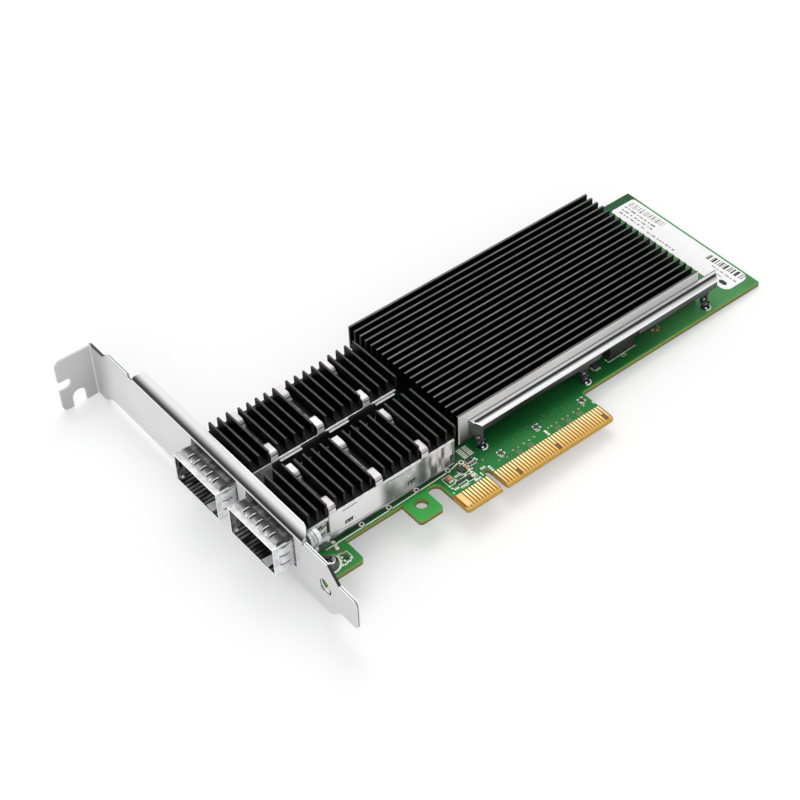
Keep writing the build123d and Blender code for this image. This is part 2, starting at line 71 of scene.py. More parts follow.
class Value:
    """A node socket that can be added, multiplied and compared."""

    def __init__(self, graph, socket):
        self.graph = graph
        self.socket = socket

    def __add__(self, other):
        return self.graph.calc("ADD", self, other)

    def __sub__(self, other):
        return self.graph.calc("SUBTRACT", self, other)

    def __mul__(self, other):
        return self.graph.calc("MULTIPLY", self, other)

    def flip(self):
        """0 for 1 and 1 for 0."""
        return self.graph.calc("SUBTRACT", 1.0, self)

    def size(self):
        return self.graph.calc("ABSOLUTE", self)

    def max(self, other):
        return self.graph.calc("MAXIMUM", self, other)

    def capped(self):
        return self.graph.calc("MINIMUM", self, 1.0)

    def above(self, edge, soft=0.05):
        """0 below the edge, 1 above it, smooth over twice the softness."""
        return self.graph.ramp(self, edge - soft, edge + soft)

    def below(self, edge, soft=0.05):
        return self.graph.ramp(self, edge + soft, edge - soft)

    def between(self, low, high, soft=0.05):
        return self.above(low, soft) * self.below(high, soft)

    def peak(self, middle, width):
        """1 at the middle, falling to 0 at half a width to either side."""
        return self.graph.ramp((self - middle).size(), width / 2, 0.0)

    def repeat(self, first, pitch):
        """Distance to the nearest of many evenly spaced lines."""
        return self.graph.calc("PINGPONG", self - first, pitch / 2)


class Graph:
    """Nodes of one material, positions in millimetres of the shared frame."""

    def __init__(self, name):
        self.mat = bpy.data.materials.new(name)
        self.mat.use_nodes = True
        self.tree = self.mat.node_tree
        self.tree.nodes.clear()
        coords = self.node("ShaderNodeTexCoord")
        self.coords = coords.outputs["Object"]
        split = self.node("ShaderNodeSeparateXYZ")
        self.tree.links.new(self.coords, split.inputs[0])
        self.x, self.y, self.z = (Value(self, split.outputs[i]) * 1000.0 for i in range(3))
        geometry = self.node("ShaderNodeNewGeometry")
        self.true_normal = geometry.outputs["True Normal"]
        split = self.node("ShaderNodeSeparateXYZ")
        self.tree.links.new(self.true_normal, split.inputs[0])
        self.nx, self.ny, self.nz = (Value(self, split.outputs[i]) for i in range(3))

    def node(self, kind, **settings):
        made = self.tree.nodes.new(kind)
        for key, value in settings.items():
            setattr(made, key, value)
        return made

    def put(self, value, socket):
        if isinstance(value, Value):
            self.tree.links.new(value.socket, socket)
        elif isinstance(value, (tuple, list)):
            socket.default_value = (*value, 1.0)[: len(socket.default_value)]
        else:
            socket.default_value = value

    def calc(self, operation, *values):
        made = self.node("ShaderNodeMath", operation=operation)
        for socket, value in zip(made.inputs, values):
            self.put(value, socket)
        return Value(self, made.outputs[0])

    def distance(self, first, second):
        """Length of a step that is given by its two parts."""
        return self.calc("SQRT", first * first + second * second)

    def ramp(self, value, start, end, low=0.0, high=1.0):
        """Smooth change from low to high while the value goes from start to end."""
        made = self.node("ShaderNodeMapRange", interpolation_type="SMOOTHSTEP")
        for i, v in enumerate((value, start, end, low, high)):
            self.put(v, made.inputs[i])
        return Value(self, made.outputs[0])

    def mix(self, mask, first, second):
        """The first colour where the mask is 0, the second where it is 1."""
        made = self.node("ShaderNodeMix", data_type="RGBA")
        self.put(mask, made.inputs[0])
        self.put(first, made.inputs[6])
        self.put(second, made.inputs[7])
        return Value(self, made.outputs[2])

    def blend(self, mask, first, second):
        """The same for plain numbers."""
        made = self.node("ShaderNodeMix", data_type="FLOAT")
        for i, v in ((0, mask), (2, first), (3, second)):
            self.put(v, made.inputs[i])
        return Value(self, made.outputs[0])

    def shade(self, color, factor):
        """The colour made darker or lighter by a factor."""
        made = self.node("ShaderNodeVectorMath", operation="SCALE")
        self.put(color, made.inputs[0])
        self.put(factor, made.inputs[3])
        return Value(self, made.outputs[0])

    def noise(self, scale, stretch=(1, 1, 1), detail=3.0, turn=(0, 0, 0)):
        mapping = self.node("ShaderNodeMapping")
        self.tree.links.new(self.coords, mapping.inputs[0])
        mapping.inputs["Scale"].default_value = stretch
        mapping.inputs["Rotation"].default_value = turn
        made = self.node("ShaderNodeTexNoise")
        self.tree.links.new(mapping.outputs[0], made.inputs["Vector"])
        made.inputs["Scale"].default_value = scale
        made.inputs["Detail"].default_value = detail
        return Value(self, made.outputs["Fac"])

    def tone(self, low, high, scale, stretch=(1, 1, 1), detail=2.0, turn=(0, 0, 0)):
        """A level that wanders between two values."""
        return self.ramp(self.noise(scale, stretch, detail, turn=turn), 0.34, 0.66, low, high)

    def rounded(self, radius):
        """Normals softened at the edges, radius in millimetres."""
        made = self.node("ShaderNodeBevel", samples=4)
        made.inputs["Radius"].default_value = radius * MM
        return made.outputs["Normal"]

    def edges(self, radius, start=0.02, end=0.25):
        """1 along the edges, 0 on the faces."""
        dot = self.node("ShaderNodeVectorMath", operation="DOT_PRODUCT")
        self.tree.links.new(self.rounded(radius), dot.inputs[0])
        self.tree.links.new(self.true_normal, dot.inputs[1])
        return self.ramp(Value(self, dot.outputs["Value"]).flip(), start, end)

    def done(self, color, metal=0.0, rough=0.5, bump=None, bump_height=0.02, soft=None, **inputs):
        """The finished material: shader, softened edges and fine relief."""
        shader = self.node("ShaderNodeBsdfPrincipled")
        self.put(color, shader.inputs["Base Color"])
        self.put(metal, shader.inputs["Metallic"])
        self.put(rough, shader.inputs["Roughness"])
        for key, value in inputs.items():
            self.put(value, shader.inputs[key.replace("_", " ")])
        normal = self.rounded(soft) if soft else None
        if bump is not None:
            relief = self.node("ShaderNodeBump")
            relief.inputs["Strength"].default_value = 1.0
            relief.inputs["Distance"].default_value = bump_height * MM
            self.put(bump, relief.inputs["Height"])
            if normal is not None:
                self.tree.links.new(normal, relief.inputs["Normal"])
            normal = relief.outputs[0]
        if normal is not None:
            self.tree.links.new(normal, shader.inputs["Normal"])
        out = self.node("ShaderNodeOutputMaterial")
        self.tree.links.new(shader.outputs[0], out.inputs[0])
        return self.mat

    def metal(self, level, metal=0.3, rough=0.38, grain=500.0, height=0.004, soft=0.1,
              tint=(1.0, 1.0, 1.008)):
        """Painted grey level on satin metal."""
        return self.done(self.shade(tint, level), metal=metal, rough=rough, soft=soft,
                         bump=self.noise(grain, detail=2.0), bump_height=height)


def grey(v):
    return (v, v, v)


def link(obj):
    bpy.context.scene.collection.objects.link(obj)
    return obj


def from_port(g):
    """Distance along Y to the nearer port's middle line."""
    return g.calc("MINIMUM", (g.y - PORTS[0]).size(), (g.y - PORTS[1]).size())


def inner_walls(g):
    """The side walls of the port cavities, seen from inside."""
    return from_port(g).between(CAVITY_HALF, CAVITY_HALF + 0.2, 0.03)


def mouth_streaks(g):
    """Painted reflections and shade: slanting light and dark streaks deep in the mouths."""
    return g.tone(0.004, 0.42, 1100.0, (1.0, 1, 0.3), turn=(0, 0.6, 0))


# Materials of the nodes

def board_material():
    """Green mask painted lighter where it is lit and darker where it is shaded, bare laminate between the
    contacts, olive edges.
    """
    g = Graph("solder_mask_board")
    fine = g.noise(900.0, detail=2.0)
    # painted light: the green is lighter towards the contacts, where the board is lit, and darker towards
    # the bar, where it is shaded
    near = g.ramp(g.y, 17.5, 8.0)
    green = g.mix(near, (0.007, 0.088, 0.020), (0.009, 0.190, 0.032))
    # painted light at the far end of the board
    lit_far_end = g.ramp(g.x, 50.0, 96.0) * g.ramp(g.y, 66.0, 60.0)
    green = g.mix(lit_far_end, green, (0.072, 0.275, 0.085))
    # painted light on the two tabs
    lit_end_tab = g.x.below(-43.0, 1.0) * g.y.below(14.8, 0.4)
    green = g.mix(lit_end_tab, green, (0.026, 0.240, 0.045))
    lit_holed_tab = g.x.between(-30.0, -13.5, 3.0) * g.y.below(13.3, 1.0)
    green = g.mix(lit_holed_tab, green, (0.040, 0.370, 0.060))
    # painted shade beside and under the cages and behind the large heat sink
    shade_beside_cages = g.x.between(-57.0, -4.5, 0.4) * g.y.above(14.0, 0.5)
    green = g.mix(shade_beside_cages, green, (0.010, 0.060, 0.020))
    shade_under_cages = g.x.between(-57.0, -4.9, 0.2) * g.y.above(15.4, 0.2)
    shade_under_cages = shade_under_cages.max(g.x.between(-6.0, 0.4, 0.2) * g.y.above(SINK_Y + 0.05, 0.3))
    green = g.mix(shade_under_cages, green, (0.004, 0.010, 0.005))
    shade_behind_sink = g.x.between(80.0, 92.6, 0.4) * g.y.between(SINK_Y + 0.05, 66.0, 0.4)
    green = g.mix(shade_behind_sink, green, (0.010, 0.045, 0.022))
    rim = g.edges(0.85, 0.01, 0.14) * g.nz.above(0.5, 0.2) * shade_under_cages.flip()
    rim = rim * g.y.below(60.0, 1.0)
    green = g.mix(rim * 0.8, green, (0.085, 0.400, 0.105))
    hole_rim = g.distance(g.x - TAB_HOLE[0], g.y - TAB_HOLE[1]).below(1.95, 0.15)
    green = g.mix(hole_rim, green, (0.13, 0.15, 0.03))
    side = g.nz.size().below(0.5, 0.2)
    bare = g.y.below(CONTACTS_END, 0.04) * g.x.between(-13.3, 39.6, 0.05)
    laminate = g.mix(fine, (0.200, 0.075, 0.002), (0.290, 0.115, 0.006))
    ochre = g.mix(fine, (0.46, 0.27, 0.050), (0.60, 0.37, 0.085))
    low = g.y.below(0.95, 0.08)
    tips = g.x.repeat(FIRST_CONTACT, CONTACT_PITCH).below(0.33, 0.04) * g.y.between(0.5, 1.45, 0.05)
    for x in MISSING_CONTACTS:
        tips = tips * g.x.between(x - 0.5, x + 0.5, 0.02).flip()
    olive_low = g.mix(fine, (0.12, 0.10, 0.020), (0.19, 0.16, 0.035))
    olive_high = g.mix(fine, (0.21, 0.30, 0.045), (0.30, 0.38, 0.070))
    olive = g.mix(g.ramp(g.z, -0.7, 0.75), olive_low, olive_high)
    strip = g.mix(tips, g.mix(low, laminate, ochre), (0.76, 0.47, 0.13))
    face = g.mix(bare, g.shade(green, g.tone(0.88, 1.12, 70.0)), strip)
    edge = g.mix(bare, olive, ochre)
    return g.done(g.mix(side, face, edge), rough=0.42, Specular_IOR_Level=0.18,
                  bump=g.noise(300.0, detail=1.0), bump_height=0.008)


def gold_material():
    """Contacts, paler away from the edge, with brown flanks; the two end ones are redder."""
    g = Graph("gold_plate")
    ends_at = -10.0
    gold = g.mix(g.ramp(g.y, 1.6, 5.8), (0.86, 0.55, 0.14), (1.0, 0.84, 0.42))
    flank = g.x.repeat(FIRST_CONTACT, CONTACT_PITCH).above(0.27, 0.04) * g.x.above(ends_at, 0.05)
    gold = g.mix(flank, gold, (0.34, 0.135, 0.010))
    gold = g.mix(g.x.between(-12.2, ends_at, 0.05), gold, (0.90, 0.53, 0.19))
    gold = g.shade(gold, g.tone(0.92, 1.06, 160.0, (1, 0.4, 1)))
    return g.done(gold, metal=0.22, rough=0.4, soft=0.06,
                  bump=g.noise(2500.0, (1, 0.3, 1)), bump_height=0.003)


def bracket_material():
    """Satin sheet: strip, screw tab, folded flange and cut edges, with painted light and shade: shade near
    the tab's bend, above the ports and low on the tab, a dark painted reflection in the flange's bend, the
    cut edges painted bright or dark as highlight and shade, and a painted highlight on the crease.
    """
    g = Graph("bracket_steel")
    flange_z, flange_y = 11.75, (11.0, 89.0)
    fold_x, free_edge_x, tab_x = -57.36, -53.65, -57.6
    # painted light and shade along the strip: darker towards its low end and towards the tab's bend
    strip = g.ramp(g.y, -8.0, 62.0, 0.76, 0.87)
    strip = strip * g.ramp(g.y, 107.5, 97.0, 0.70, 1.0) * g.tone(0.97, 1.03, 45.0)
    # painted shade on the strip above the port openings
    over_port = from_port(g).below(10.2, 0.2) * g.z.above(10.7, 0.05)
    strip = g.blend(over_port, strip, 0.07)
    tab = g.x.below(tab_x - 0.3, 0.1) * g.ny.size().above(0.8, 0.1)
    # painted shade: the tab darker towards its bottom
    level = g.blend(tab, strip, g.ramp(g.z, -8.0, 9.5, 0.53, 0.66))
    flange = g.z.above(flange_z, 0.12) * g.y.between(*flange_y, 0.4)
    # painted reflection: a dark band in the flange's bend, with painted highlights on the fold and on the
    # free edge
    bend = g.ramp(g.x, -57.0, -54.6, 0.02, 0.71) * g.tone(0.97, 1.03, 60.0, (1, 0.2, 1))
    bend = bend.max(g.x.below(fold_x, 0.04))
    bend = bend.max(g.x.above(free_edge_x, 0.1) * g.ramp(g.y, 75.0, 45.0))
    level = g.blend(flange, level, bend)
    # the cut edges painted as highlights, with painted shade in thin dark lines and black stretches
    cut = (g.nx.size().below(0.5, 0.1) * g.x.above(tab_x - 0.2, 0.1)).max(g.nz.size().above(0.5, 0.1))
    cut = cut * flange.flip()
    dark_line = g.x.between(-57.26, -56.98, 0.04)
    dark_line = dark_line.max(g.y.between(109.5, 109.7, 0.04) * g.x.below(tab_x, 0.1))
    black = g.y.between(-3.7, 0.7, 0.1).max(g.y.above(101.5, 0.4) * g.x.above(tab_x, 0.1))
    edge = g.blend(black, g.blend(dark_line, 0.95, 0.05), 0.02)
    level = g.blend(cut, level, edge)
    # painted highlight on the crease of the tab's bend
    crease = g.x.between(-57.75, -57.3, 0.05) * g.y.above(109.0, 0.1)
    return g.metal(g.blend(crease * 0.7, level, 0.9), metal=0.18, rough=0.45, grain=700.0, soft=0.06)


def cage_material():
    """Satin sheet outside; inside, ribs and streaks of painted light that fade into painted shade deeper in,
    with the ceiling painted dark as shade and a painted highlight on the front edge.
    """
    g = Graph("cage_steel")
    socket_x, floor_z, ceiling_z, rib_pitch = -24.0, 1.4, 9.0, 1.35
    level = g.tone(0.30, 0.72, 150.0, (1, 1, 1.6))
    inside = g.x.below(socket_x, 1.0)
    floor_part = g.nz.above(0.7, 0.1) * g.z.below(floor_z, 0.1)
    # the floor's ribs painted as light and shade
    ribs = g.ramp(g.y.repeat(0.3, rib_pitch), 0.15, 0.5, 0.015, 0.24)
    ribs = ribs * g.tone(0.1, 1.8, 420.0, (0.5, 1, 1))
    walls = g.nz.size().below(0.5, 0.1) * inner_walls(g)
    level = g.blend(floor_part * inside, level, ribs)
    level = g.blend(walls, level, mouth_streaks(g))
    # painted shade under the ceiling and deeper inside
    ceiling = g.nz.below(-0.7, 0.1) * g.z.above(ceiling_z, 0.2)
    level = g.blend(ceiling, level, 0.02)
    deep = g.ramp(g.x, -60.0, -48.0) * (floor_part + walls).capped()
    level = level * (deep * 0.9).flip()
    # painted highlight on the front edge of the mouth
    front = g.x.below(MOUTH_X + 0.2, 0.05) * g.nx.below(-0.7, 0.1)
    level = g.blend(front, level, 1.0)
    return g.metal(level, metal=0.25, rough=0.34, grain=400.0, height=0.008)


def collar_material():
    """Spring fingers with painted light and shade: a lit front, a shaded and mottled rear, slits painted
    dark as shade, sides painted darker towards the bracket, and a painted highlight on the rim of the mouth.
    """
    g = Graph("spring_steel_collar")
    up = g.nz.above(0.35, 0.15)
    # painted light on the front of the fingers, painted shade with mottled reflections on the rear
    front = g.ramp(g.x, -63.3, -61.4, 0.56, 0.44) * g.tone(0.82, 1.18, 420.0)
    rear = g.tone(0.2, 1.5, 500.0, (0.25, 1, 1)) * g.ramp(g.x, -59.6, -57.9, 0.010, 0.16)
    top = g.blend(g.ramp(g.x, -61.5, -60.3), front, rear)
    for y in PORTS:
        across = g.y - y
        # slits painted near black as shade
        slit = across.repeat(FIRST_SLIT - 0.04, SLIT_PITCH).below(0.28, 0.04)
        slit = slit * across.size().below(6.4, 0.05)
        top = g.blend(slit * g.x.between(-61.6, -59.4, 0.05), top, 0.004)
    # painted shade: the sides darker towards the bracket
    side = g.ramp(g.x, MOUTH_X, FACE_X, 0.92, 0.70) * g.tone(0.78, 1.08, 420.0)
    level = g.blend(up * g.z.above(9.5, 0.2), side, top)
    # painted reflections and shade inside the mouth
    hollow = g.x.below(-60.0, 0.3) * inner_walls(g)
    level = g.blend(hollow, level, mouth_streaks(g))
    # painted highlight on the rim of the mouth
    rim = g.edges(0.09, 0.05, 0.25) * g.x.below(MOUTH_X + 0.6, 0.2)
    level = g.blend(g.x.below(MOUTH_X + 0.05, 0.06).max(rim * 0.8), level, 1.0)
    return g.metal(level, metal=0.2, rough=0.36, height=0.006)


def anodised(g):
    return g.tone(0.0010, 0.0038, 200.0, (0.3, 1, 1))


def bare_tops(g, level):
    """Cut metal of the fin tops."""
    return g.tone(level * 0.82, level * 1.18, 160.0, (1, 4, 1))


def fin_shader(g, value, metal):
    """The rest of both fin materials."""
    return g.done(g.shade(grey(1.0), value), metal=metal, rough=0.42, soft=0.05,
                  Specular_IOR_Level=0.1, bump=g.noise(900.0, (0.2, 1, 1)), bump_height=0.004)


def port_fin_material():
    """Black anodised port heat sinks: bare fin tops, dim fin ends and base."""
    g = Graph("black_anodised_port")
    fin_top, base_z = 14.5, 10.8
    up = g.nz.above(0.9, 0.05)
    mark = up * g.z.above(fin_top - 0.12, 0.05) * g.edges(0.22, 0.02, 0.10).flip()
    end = g.ny.below(-0.8, 0.1) * g.z.above(base_z - 0.1, 0.1)
    # the edges of the fin ends carry painted highlights
    dark = anodised(g) + end * g.tone(0.012, 0.030, 300.0) + end * g.edges(0.10, 0.02, 0.12) * 0.07
    dark = dark + up * g.z.below(base_z, 0.1) * 0.012
    return fin_shader(g, g.blend(mark, dark, bare_tops(g, 0.062)), mark * 0.3)


def main_fin_material():
    """Black anodised large heat sink: bare fin tops, and a bare side beside the bar with painted light and
    shade.
    """
    g = Graph("black_anodised_main")
    fin_top, line_width = 11.56, 0.46
    mark = g.nz.above(0.9, 0.05) * g.z.above(fin_top - 0.12, 0.05)
    mark = mark * g.y.repeat(SINK_Y + FIN_THICK / 2, FIN_PITCH).below(line_width / 2, 0.06)
    bare = g.ny.below(-0.8, 0.1) * g.y.below(SINK_Y + 0.2, 0.05)
    # painted light and shade on the bare side: darker towards the bottom and the far end, painted highlights
    # along its top edge and at its near end
    side_light_and_shade = g.ramp(g.z, 1.0, 9.5, 0.10, 0.90) * g.ramp(g.x, 5.0, 85.0, 1.0, 0.85)
    side_light_and_shade = side_light_and_shade * g.tone(0.93, 1.07, 120.0, (0.15, 1, 1))
    side_light_and_shade = side_light_and_shade.max(g.z.above(11.2, 0.12)).max(g.x.below(0.75, 0.25) * 0.85)
    value = g.blend(mark, anodised(g), bare_tops(g, 0.135))
    return fin_shader(g, g.blend(bare, value, side_light_and_shade), g.blend(bare, mark * 0.3, 0.25))


def bar_material():
    """Brushed bar: painted light on the bands beside the valley, painted shade in the valley and on the lip,
    and painted highlights on the front fold and the slanted end.
    """
    g = Graph("bar_metal")
    band_level, front_y, valley_y, rear_y = 0.72, 16.5, 17.8, 18.42
    rear = g.y.between(rear_y, BAR_REAR_Y, 0.05) * band_level
    # painted shade: the front band darker towards the valley
    front = g.ramp(g.y, valley_y - 0.05, front_y + 0.2, 0.08, band_level) * g.y.below(valley_y, 0.1)
    level = (rear + front) * g.tone(0.86, 1.12, 260.0, (0.06, 1, 1))
    # painted shade towards the far end
    level = level * g.ramp(g.x, 40.0, 92.0, 1.0, 0.80)
    up = g.nz.above(0.3, 0.1)
    # painted highlights on the front fold and the slanted end
    level = level.max(g.y.below(front_y, 0.12) * up)
    from_slanted_end = g.x - (g.y * -0.6087 + 15.34)
    level = level.max(from_slanted_end.below(0.6, 0.1) * g.y.below(18.9, 0.2) * up)
    lip = g.nz.size().below(0.25, 0.08)
    shade = g.tone(0.018, 0.075, 200.0, (0.25, 1, 1)) * g.ramp(g.z, 5.4, 7.0, 0.7, 1.3)
    level = g.blend(lip, level + 0.03, shade)
    leg = g.x.below(6.0, 0.1) * lip
    level = g.blend(leg, level, g.tone(0.07, 0.17, 220.0))
    return g.metal(level, metal=0.25, rough=0.34, grain=800.0, soft=0.12)


def clip_material(name, without_gap_shade):
    """Spring clip with painted light and shade: lit bands with shaded slopes, valleys and fold, side walls
    that mirror the surroundings in painted reflections, and a painted highlight on the top rim.
    """
    g = Graph(name)
    wall_top, rim_z, fold_z, far_end_x = 10.45, (10.28, 10.5), (12.12, 12.42), -5.75
    # painted light on the humps of the bands; painted shade on their slopes, in the valleys and along the
    # fold
    hump = g.tone(0.80, 1.0, 260.0)
    fold = g.z.between(*fold_z, 0.06) * g.ny.below(-0.15, 0.1)
    slope = g.nz.between(0.15, 0.93, 0.04) * g.z.between(10.9, 13.0, 0.1)
    valley = g.z.below(11.9, 0.1) * g.nz.above(0.5, 0.1)
    first, second, third = (g.x.peak(x, 0.9) for x in BANDS_X)
    middle = first.max(second).max(third)
    # painted light on the upright faces of the bands
    down = g.tone(0.55, 0.95, 300.0) * g.ny.size().above(0.6, 0.1) * g.z.above(10.0, 0.1)
    level = g.blend(slope, hump, 0.07)
    level = g.blend(valley, level, middle * g.tone(0.05, 0.6, 300.0) + 0.006)
    level = g.blend(down, level, 0.80)
    level = g.blend(fold, level, 0.06)
    side = g.z.below(wall_top, 0.03) * g.ny.size().above(0.8, 0.1)
    # painted reflections on the side walls: light on the near part, patches and streaks further on; painted
    # shade at the far end and low by the near leg
    light = g.tone(0.94, 1.0, 90.0)
    patches = g.ramp(g.x, -28.0, -21.0, 0.24, 0.62) * g.ramp(g.x, -19.5, -16.0, 1.0, 0.26)
    patches = patches * g.tone(0.75, 1.3, 260.0, turn=(0, 0.5, 0)) * g.ramp(g.z, 3.0, 9.5, 0.7, 1.25)
    sweep = g.tone(0.14, 0.92, 420.0, (1.6, 1, 0.45), turn=(0, 0.75, 0))
    face = g.blend(g.ramp(g.x, -31.0, -27.0), light, patches)
    face = g.blend(g.ramp(g.x, -15.5, -13.0), face, sweep)
    face = g.blend(g.x.above(far_end_x, 0.05), face, 0.30)
    face = face * (g.x.peak(far_end_x, 0.3) * 0.6).flip()
    near_leg = g.ramp(g.z, 4.5, 2.2) * g.ramp(g.x, -42.5, -45.5)
    face = face * (near_leg * 0.7).flip()
    if not without_gap_shade:
        # painted shade on the wall that faces the gap between the ports
        gap = g.ny.below(-0.8, 0.1)
        face = g.blend(gap, face, g.ramp(g.z, 8.6, 10.0, 0.006, 0.05))
    level = g.blend(side, level, face)
    # painted highlight on the top rim, painted shade where the rim is hidden
    rim = g.z.between(*rim_z, 0.03) * g.nz.above(0.8, 0.1)
    hidden = g.y.between(PORTS[0] + 9.0, PORTS[0] + 10.2, 0.1).max(g.y.above(PORTS[1] + 9.0, 0.1))
    level = g.blend(rim, level, g.blend(hidden, 1.0, 0.015))
    return g.metal(level, metal=0.1, rough=0.45, grain=300.0, height=0.006, tint=(1.0, 0.972, 0.995))


def pipe_material():
    """Clear plastic with painted reflections: rings on the round front, glints and bands on the rod, light
    on top and shade lower down, and a foot painted dark and light.
    """
    g = Graph("clear_plastic")
    front_z, foot_x, foot_z = 6.9, -53.95, 4.05
    off_y, off_z = g.y - LENS[1], g.z - LENS[2]
    radius = g.distance(off_y, off_z)
    face = g.nx.below(-0.5, 0.1)
    # painted reflections: rings and a bright crescent on the round front
    rings = g.ramp(radius.repeat(0.25, 0.9), 0.1, 0.34, 0.10, 0.60)
    rings = rings.max(radius.above(1.72, 0.08) * g.ramp(off_y * -1.0 + off_z, -1.2, 0.6, 0.3, 1.0))
    # painted light on top, painted shade lower down and along two slanted lines
    body = g.blend(g.nz.above(0.5, 0.1), g.ramp(g.z, 7.6, 4.2, 0.75, 0.42), 0.9)
    slant = g.z - g.x * 0.3
    body = g.blend(slant.between(20.0, 20.35, 0.05).max(slant.between(21.6, 21.85, 0.05)), body, 0.01)
    # painted glints and bands on the rod
    rod = radius.above(1.9, 0.05) * g.nx.size().below(0.5, 0.1) * g.z.above(front_z, 0.1)
    bands = g.ramp(g.x, -54.1, -52.6, 0.26, 0.95) * (g.x.peak(-52.75, 0.6) * 0.85).flip()
    body = g.blend(rod, body, bands.max(g.x.peak(-53.9, 0.35)))
    # the foot painted dark, with a painted highlight along its top
    foot = g.z.below(foot_z, 0.03) * g.x.above(foot_x, 0.05) * g.ny.below(-0.5, 0.1)
    plate = g.ramp(g.z, 3.1, 3.3, 0.16, 0.95).max(g.z.below(0.95, 0.05) * 0.5)
    body = g.blend(foot, body, plate)
    level = g.blend(face * g.z.above(front_z, 0.1), body * g.tone(0.85, 1.1, 600.0), rings)
    return g.done(g.shade((1.0, 1.0, 1.01), level), rough=0.2, soft=0.1, IOR=1.49,
                  Transmission_Weight=0.08, bump=g.noise(500.0), bump_height=0.004)


def screw_material():
    """Dark polished head with painted light on its rim and one side, and one painted glint, measured from
    the near screw's middle.
    """
    g = Graph("screw_steel")
    dx, dy = g.x - SCREW[0], g.y - SCREW[1]
    radius = g.distance(dx, dy)
    outer = radius.above(1.9, 0.1)
    # painted light on the rim, towards one side
    lit = g.ramp(dy * -1.0 - dx * 0.2, 0.2, 1.8)
    level = g.blend(outer, g.tone(0.06, 0.24, 400.0), g.ramp(lit, 0.3, 1.0, 0.015, 0.12))
    glint = (dx * 0.5 + dy * 0.87 + 1.1).size().below(0.16, 0.08) * radius.below(1.7, 0.1)
    level = g.blend(glint, level, 0.95)
    # painted light on one side of the head
    level = level + g.ramp(dx - dy, 1.2, 3.0) * outer.flip() * 0.3
    return g.metal(level, metal=0.5, rough=0.25, grain=400.0)


def wire_material():
    """Thin dark wire with small glints on top."""
    g = Graph("wire_steel")
    lit = g.nz.above(0.4, 0.3) * g.tone(0.01, 0.14, 900.0)
    return g.metal(g.blend(lit, g.tone(0.004, 0.03, 700.0), 1.0), metal=0.2, rough=0.3, grain=900.0)


def plain_material(name, first, second, rough=0.5, metal=0.0, scale=500.0):
    """A fine mottle of two colours."""
    g = Graph(name)
    color = g.mix(g.ramp(g.noise(scale), 0.34, 0.66), first, second)
    return g.done(color, metal=metal, rough=rough, soft=0.06, bump=g.noise(scale * 2.0), bump_height=0.004)


port_black = port_fin_material()
cage = cage_material()
collar = collar_material()
dark = plain_material("dark_plastic", grey(0.010), grey(0.018), rough=0.45)
chip = plain_material("chip_plastic", grey(0.02), grey(0.05), rough=0.5)
wires = wire_material()
steel = bracket_material()
looks = {
    "board": board_material(), "contacts_top": gold_material(), "bracket": steel, "bracket_lugs": steel,
    "bracket_screws": screw_material(),
    "cage_1_shell": cage, "cage_2_shell": cage, "emi_collar_1": collar, "emi_collar_2": collar,
    "host_connector_1": dark, "host_connector_2": dark,
    "port_heat_sink_1": port_black, "port_heat_sink_2": port_black,
    "heat_sink_clip_1": clip_material("spring_steel_1", False),
    "heat_sink_clip_2": clip_material("spring_steel_2", True), "main_heat_sink": main_fin_material(),
    "hold_down_bar": bar_material(), "bar_anchors": wires, "controller_chip": chip,
    "thermal_pad": plain_material("thermal_paste", grey(0.30), grey(0.38), rough=0.8),
    "light_pipe": pipe_material(),
    "indicator_leds": plain_material("lamp_resin", (0.80, 0.78, 0.60), (0.9, 0.88, 0.72), rough=0.2),
    "tall_block": plain_material("block_plastic", grey(0.012), grey(0.030), rough=0.6),
    "chip_capacitors": plain_material("ceramic", (0.30, 0.13, 0.05), (0.62, 0.36, 0.20), rough=0.4),
    "chip_resistors": chip, "small_chips": chip,
    "label": plain_material("paper_label", grey(0.96), grey(0.99), rough=0.7),
}
looks["contacts_bottom"] = looks["contacts_top"]
for name, look in looks.items():
    for slot in frame["nodes"][name].material_slots:
        slot.link = "OBJECT"
        slot.material = look

# Materials of the small detail
ink = plain_material("white_ink", (0.80, 0.86, 0.72), (0.97, 1.0, 0.92), rough=0.6, scale=900.0)
tin = plain_material("bright_solder", (0.84, 0.82, 0.72), (1.0, 0.98, 0.92), rough=0.4, metal=0.1,
                     scale=900.0)
copper = plain_material("mask_over_copper", (0.040, 0.150, 0.030), (0.105, 0.140, 0.045), rough=0.45,
                        scale=900.0)
bronze = plain_material("open_via", (0.33, 0.20, 0.10), (0.62, 0.46, 0.24), rough=0.4, scale=900.0)
brown = plain_material("brown_trace", (0.060, 0.085, 0.025), (0.170, 0.085, 0.045), rough=0.5, scale=900.0)
# near black for real dark parts, and as painted shade in slits, holes and gaps
black_parts_and_shade = plain_material("dark_parts_and_painted_shade", grey(0.002), grey(0.008), rough=0.6, scale=600.0)
# white for painted highlights: bright edges, arcs, seams and dots of the small detail
painted_highlight_white = plain_material("painted_highlight", grey(0.90), grey(1.0), rough=0.3, metal=0.1, scale=600.0)
mid_metal = plain_material("shaded_metal", grey(0.06), grey(0.20), rough=0.35, metal=0.2, scale=600.0)
print_grey = plain_material("label_print", grey(0.10), grey(0.42), rough=0.7, scale=700.0)
print_black = plain_material("label_bars", grey(0.004), grey(0.05), rough=0.7, scale=700.0)

# Places of the small detail: each turns (u, v, height) into a point in millimetres


def flat(z):
    """A level face: u along X, v along Y."""
    return lambda u, v, w: (u, v, z + w)


def wall(y):
    """An upright face towards the contacts: u along X, v along Z."""
    return lambda u, v, w: (u, y - w, v)


on_board = flat(TOP)
on_label = flat(TOP + 0.1)
on_mouth_floor = flat(1.03)
on_bar = flat(7.82)
on_bar_edge = flat(8.25)
on_plate = wall(PLATE_Y)
on_far_plate = wall(PLATE_Y + PORTS[1] - PORTS[0])
on_cage = wall(PORTS[0] - CAGE_HALF)
on_arm = wall(14.25)


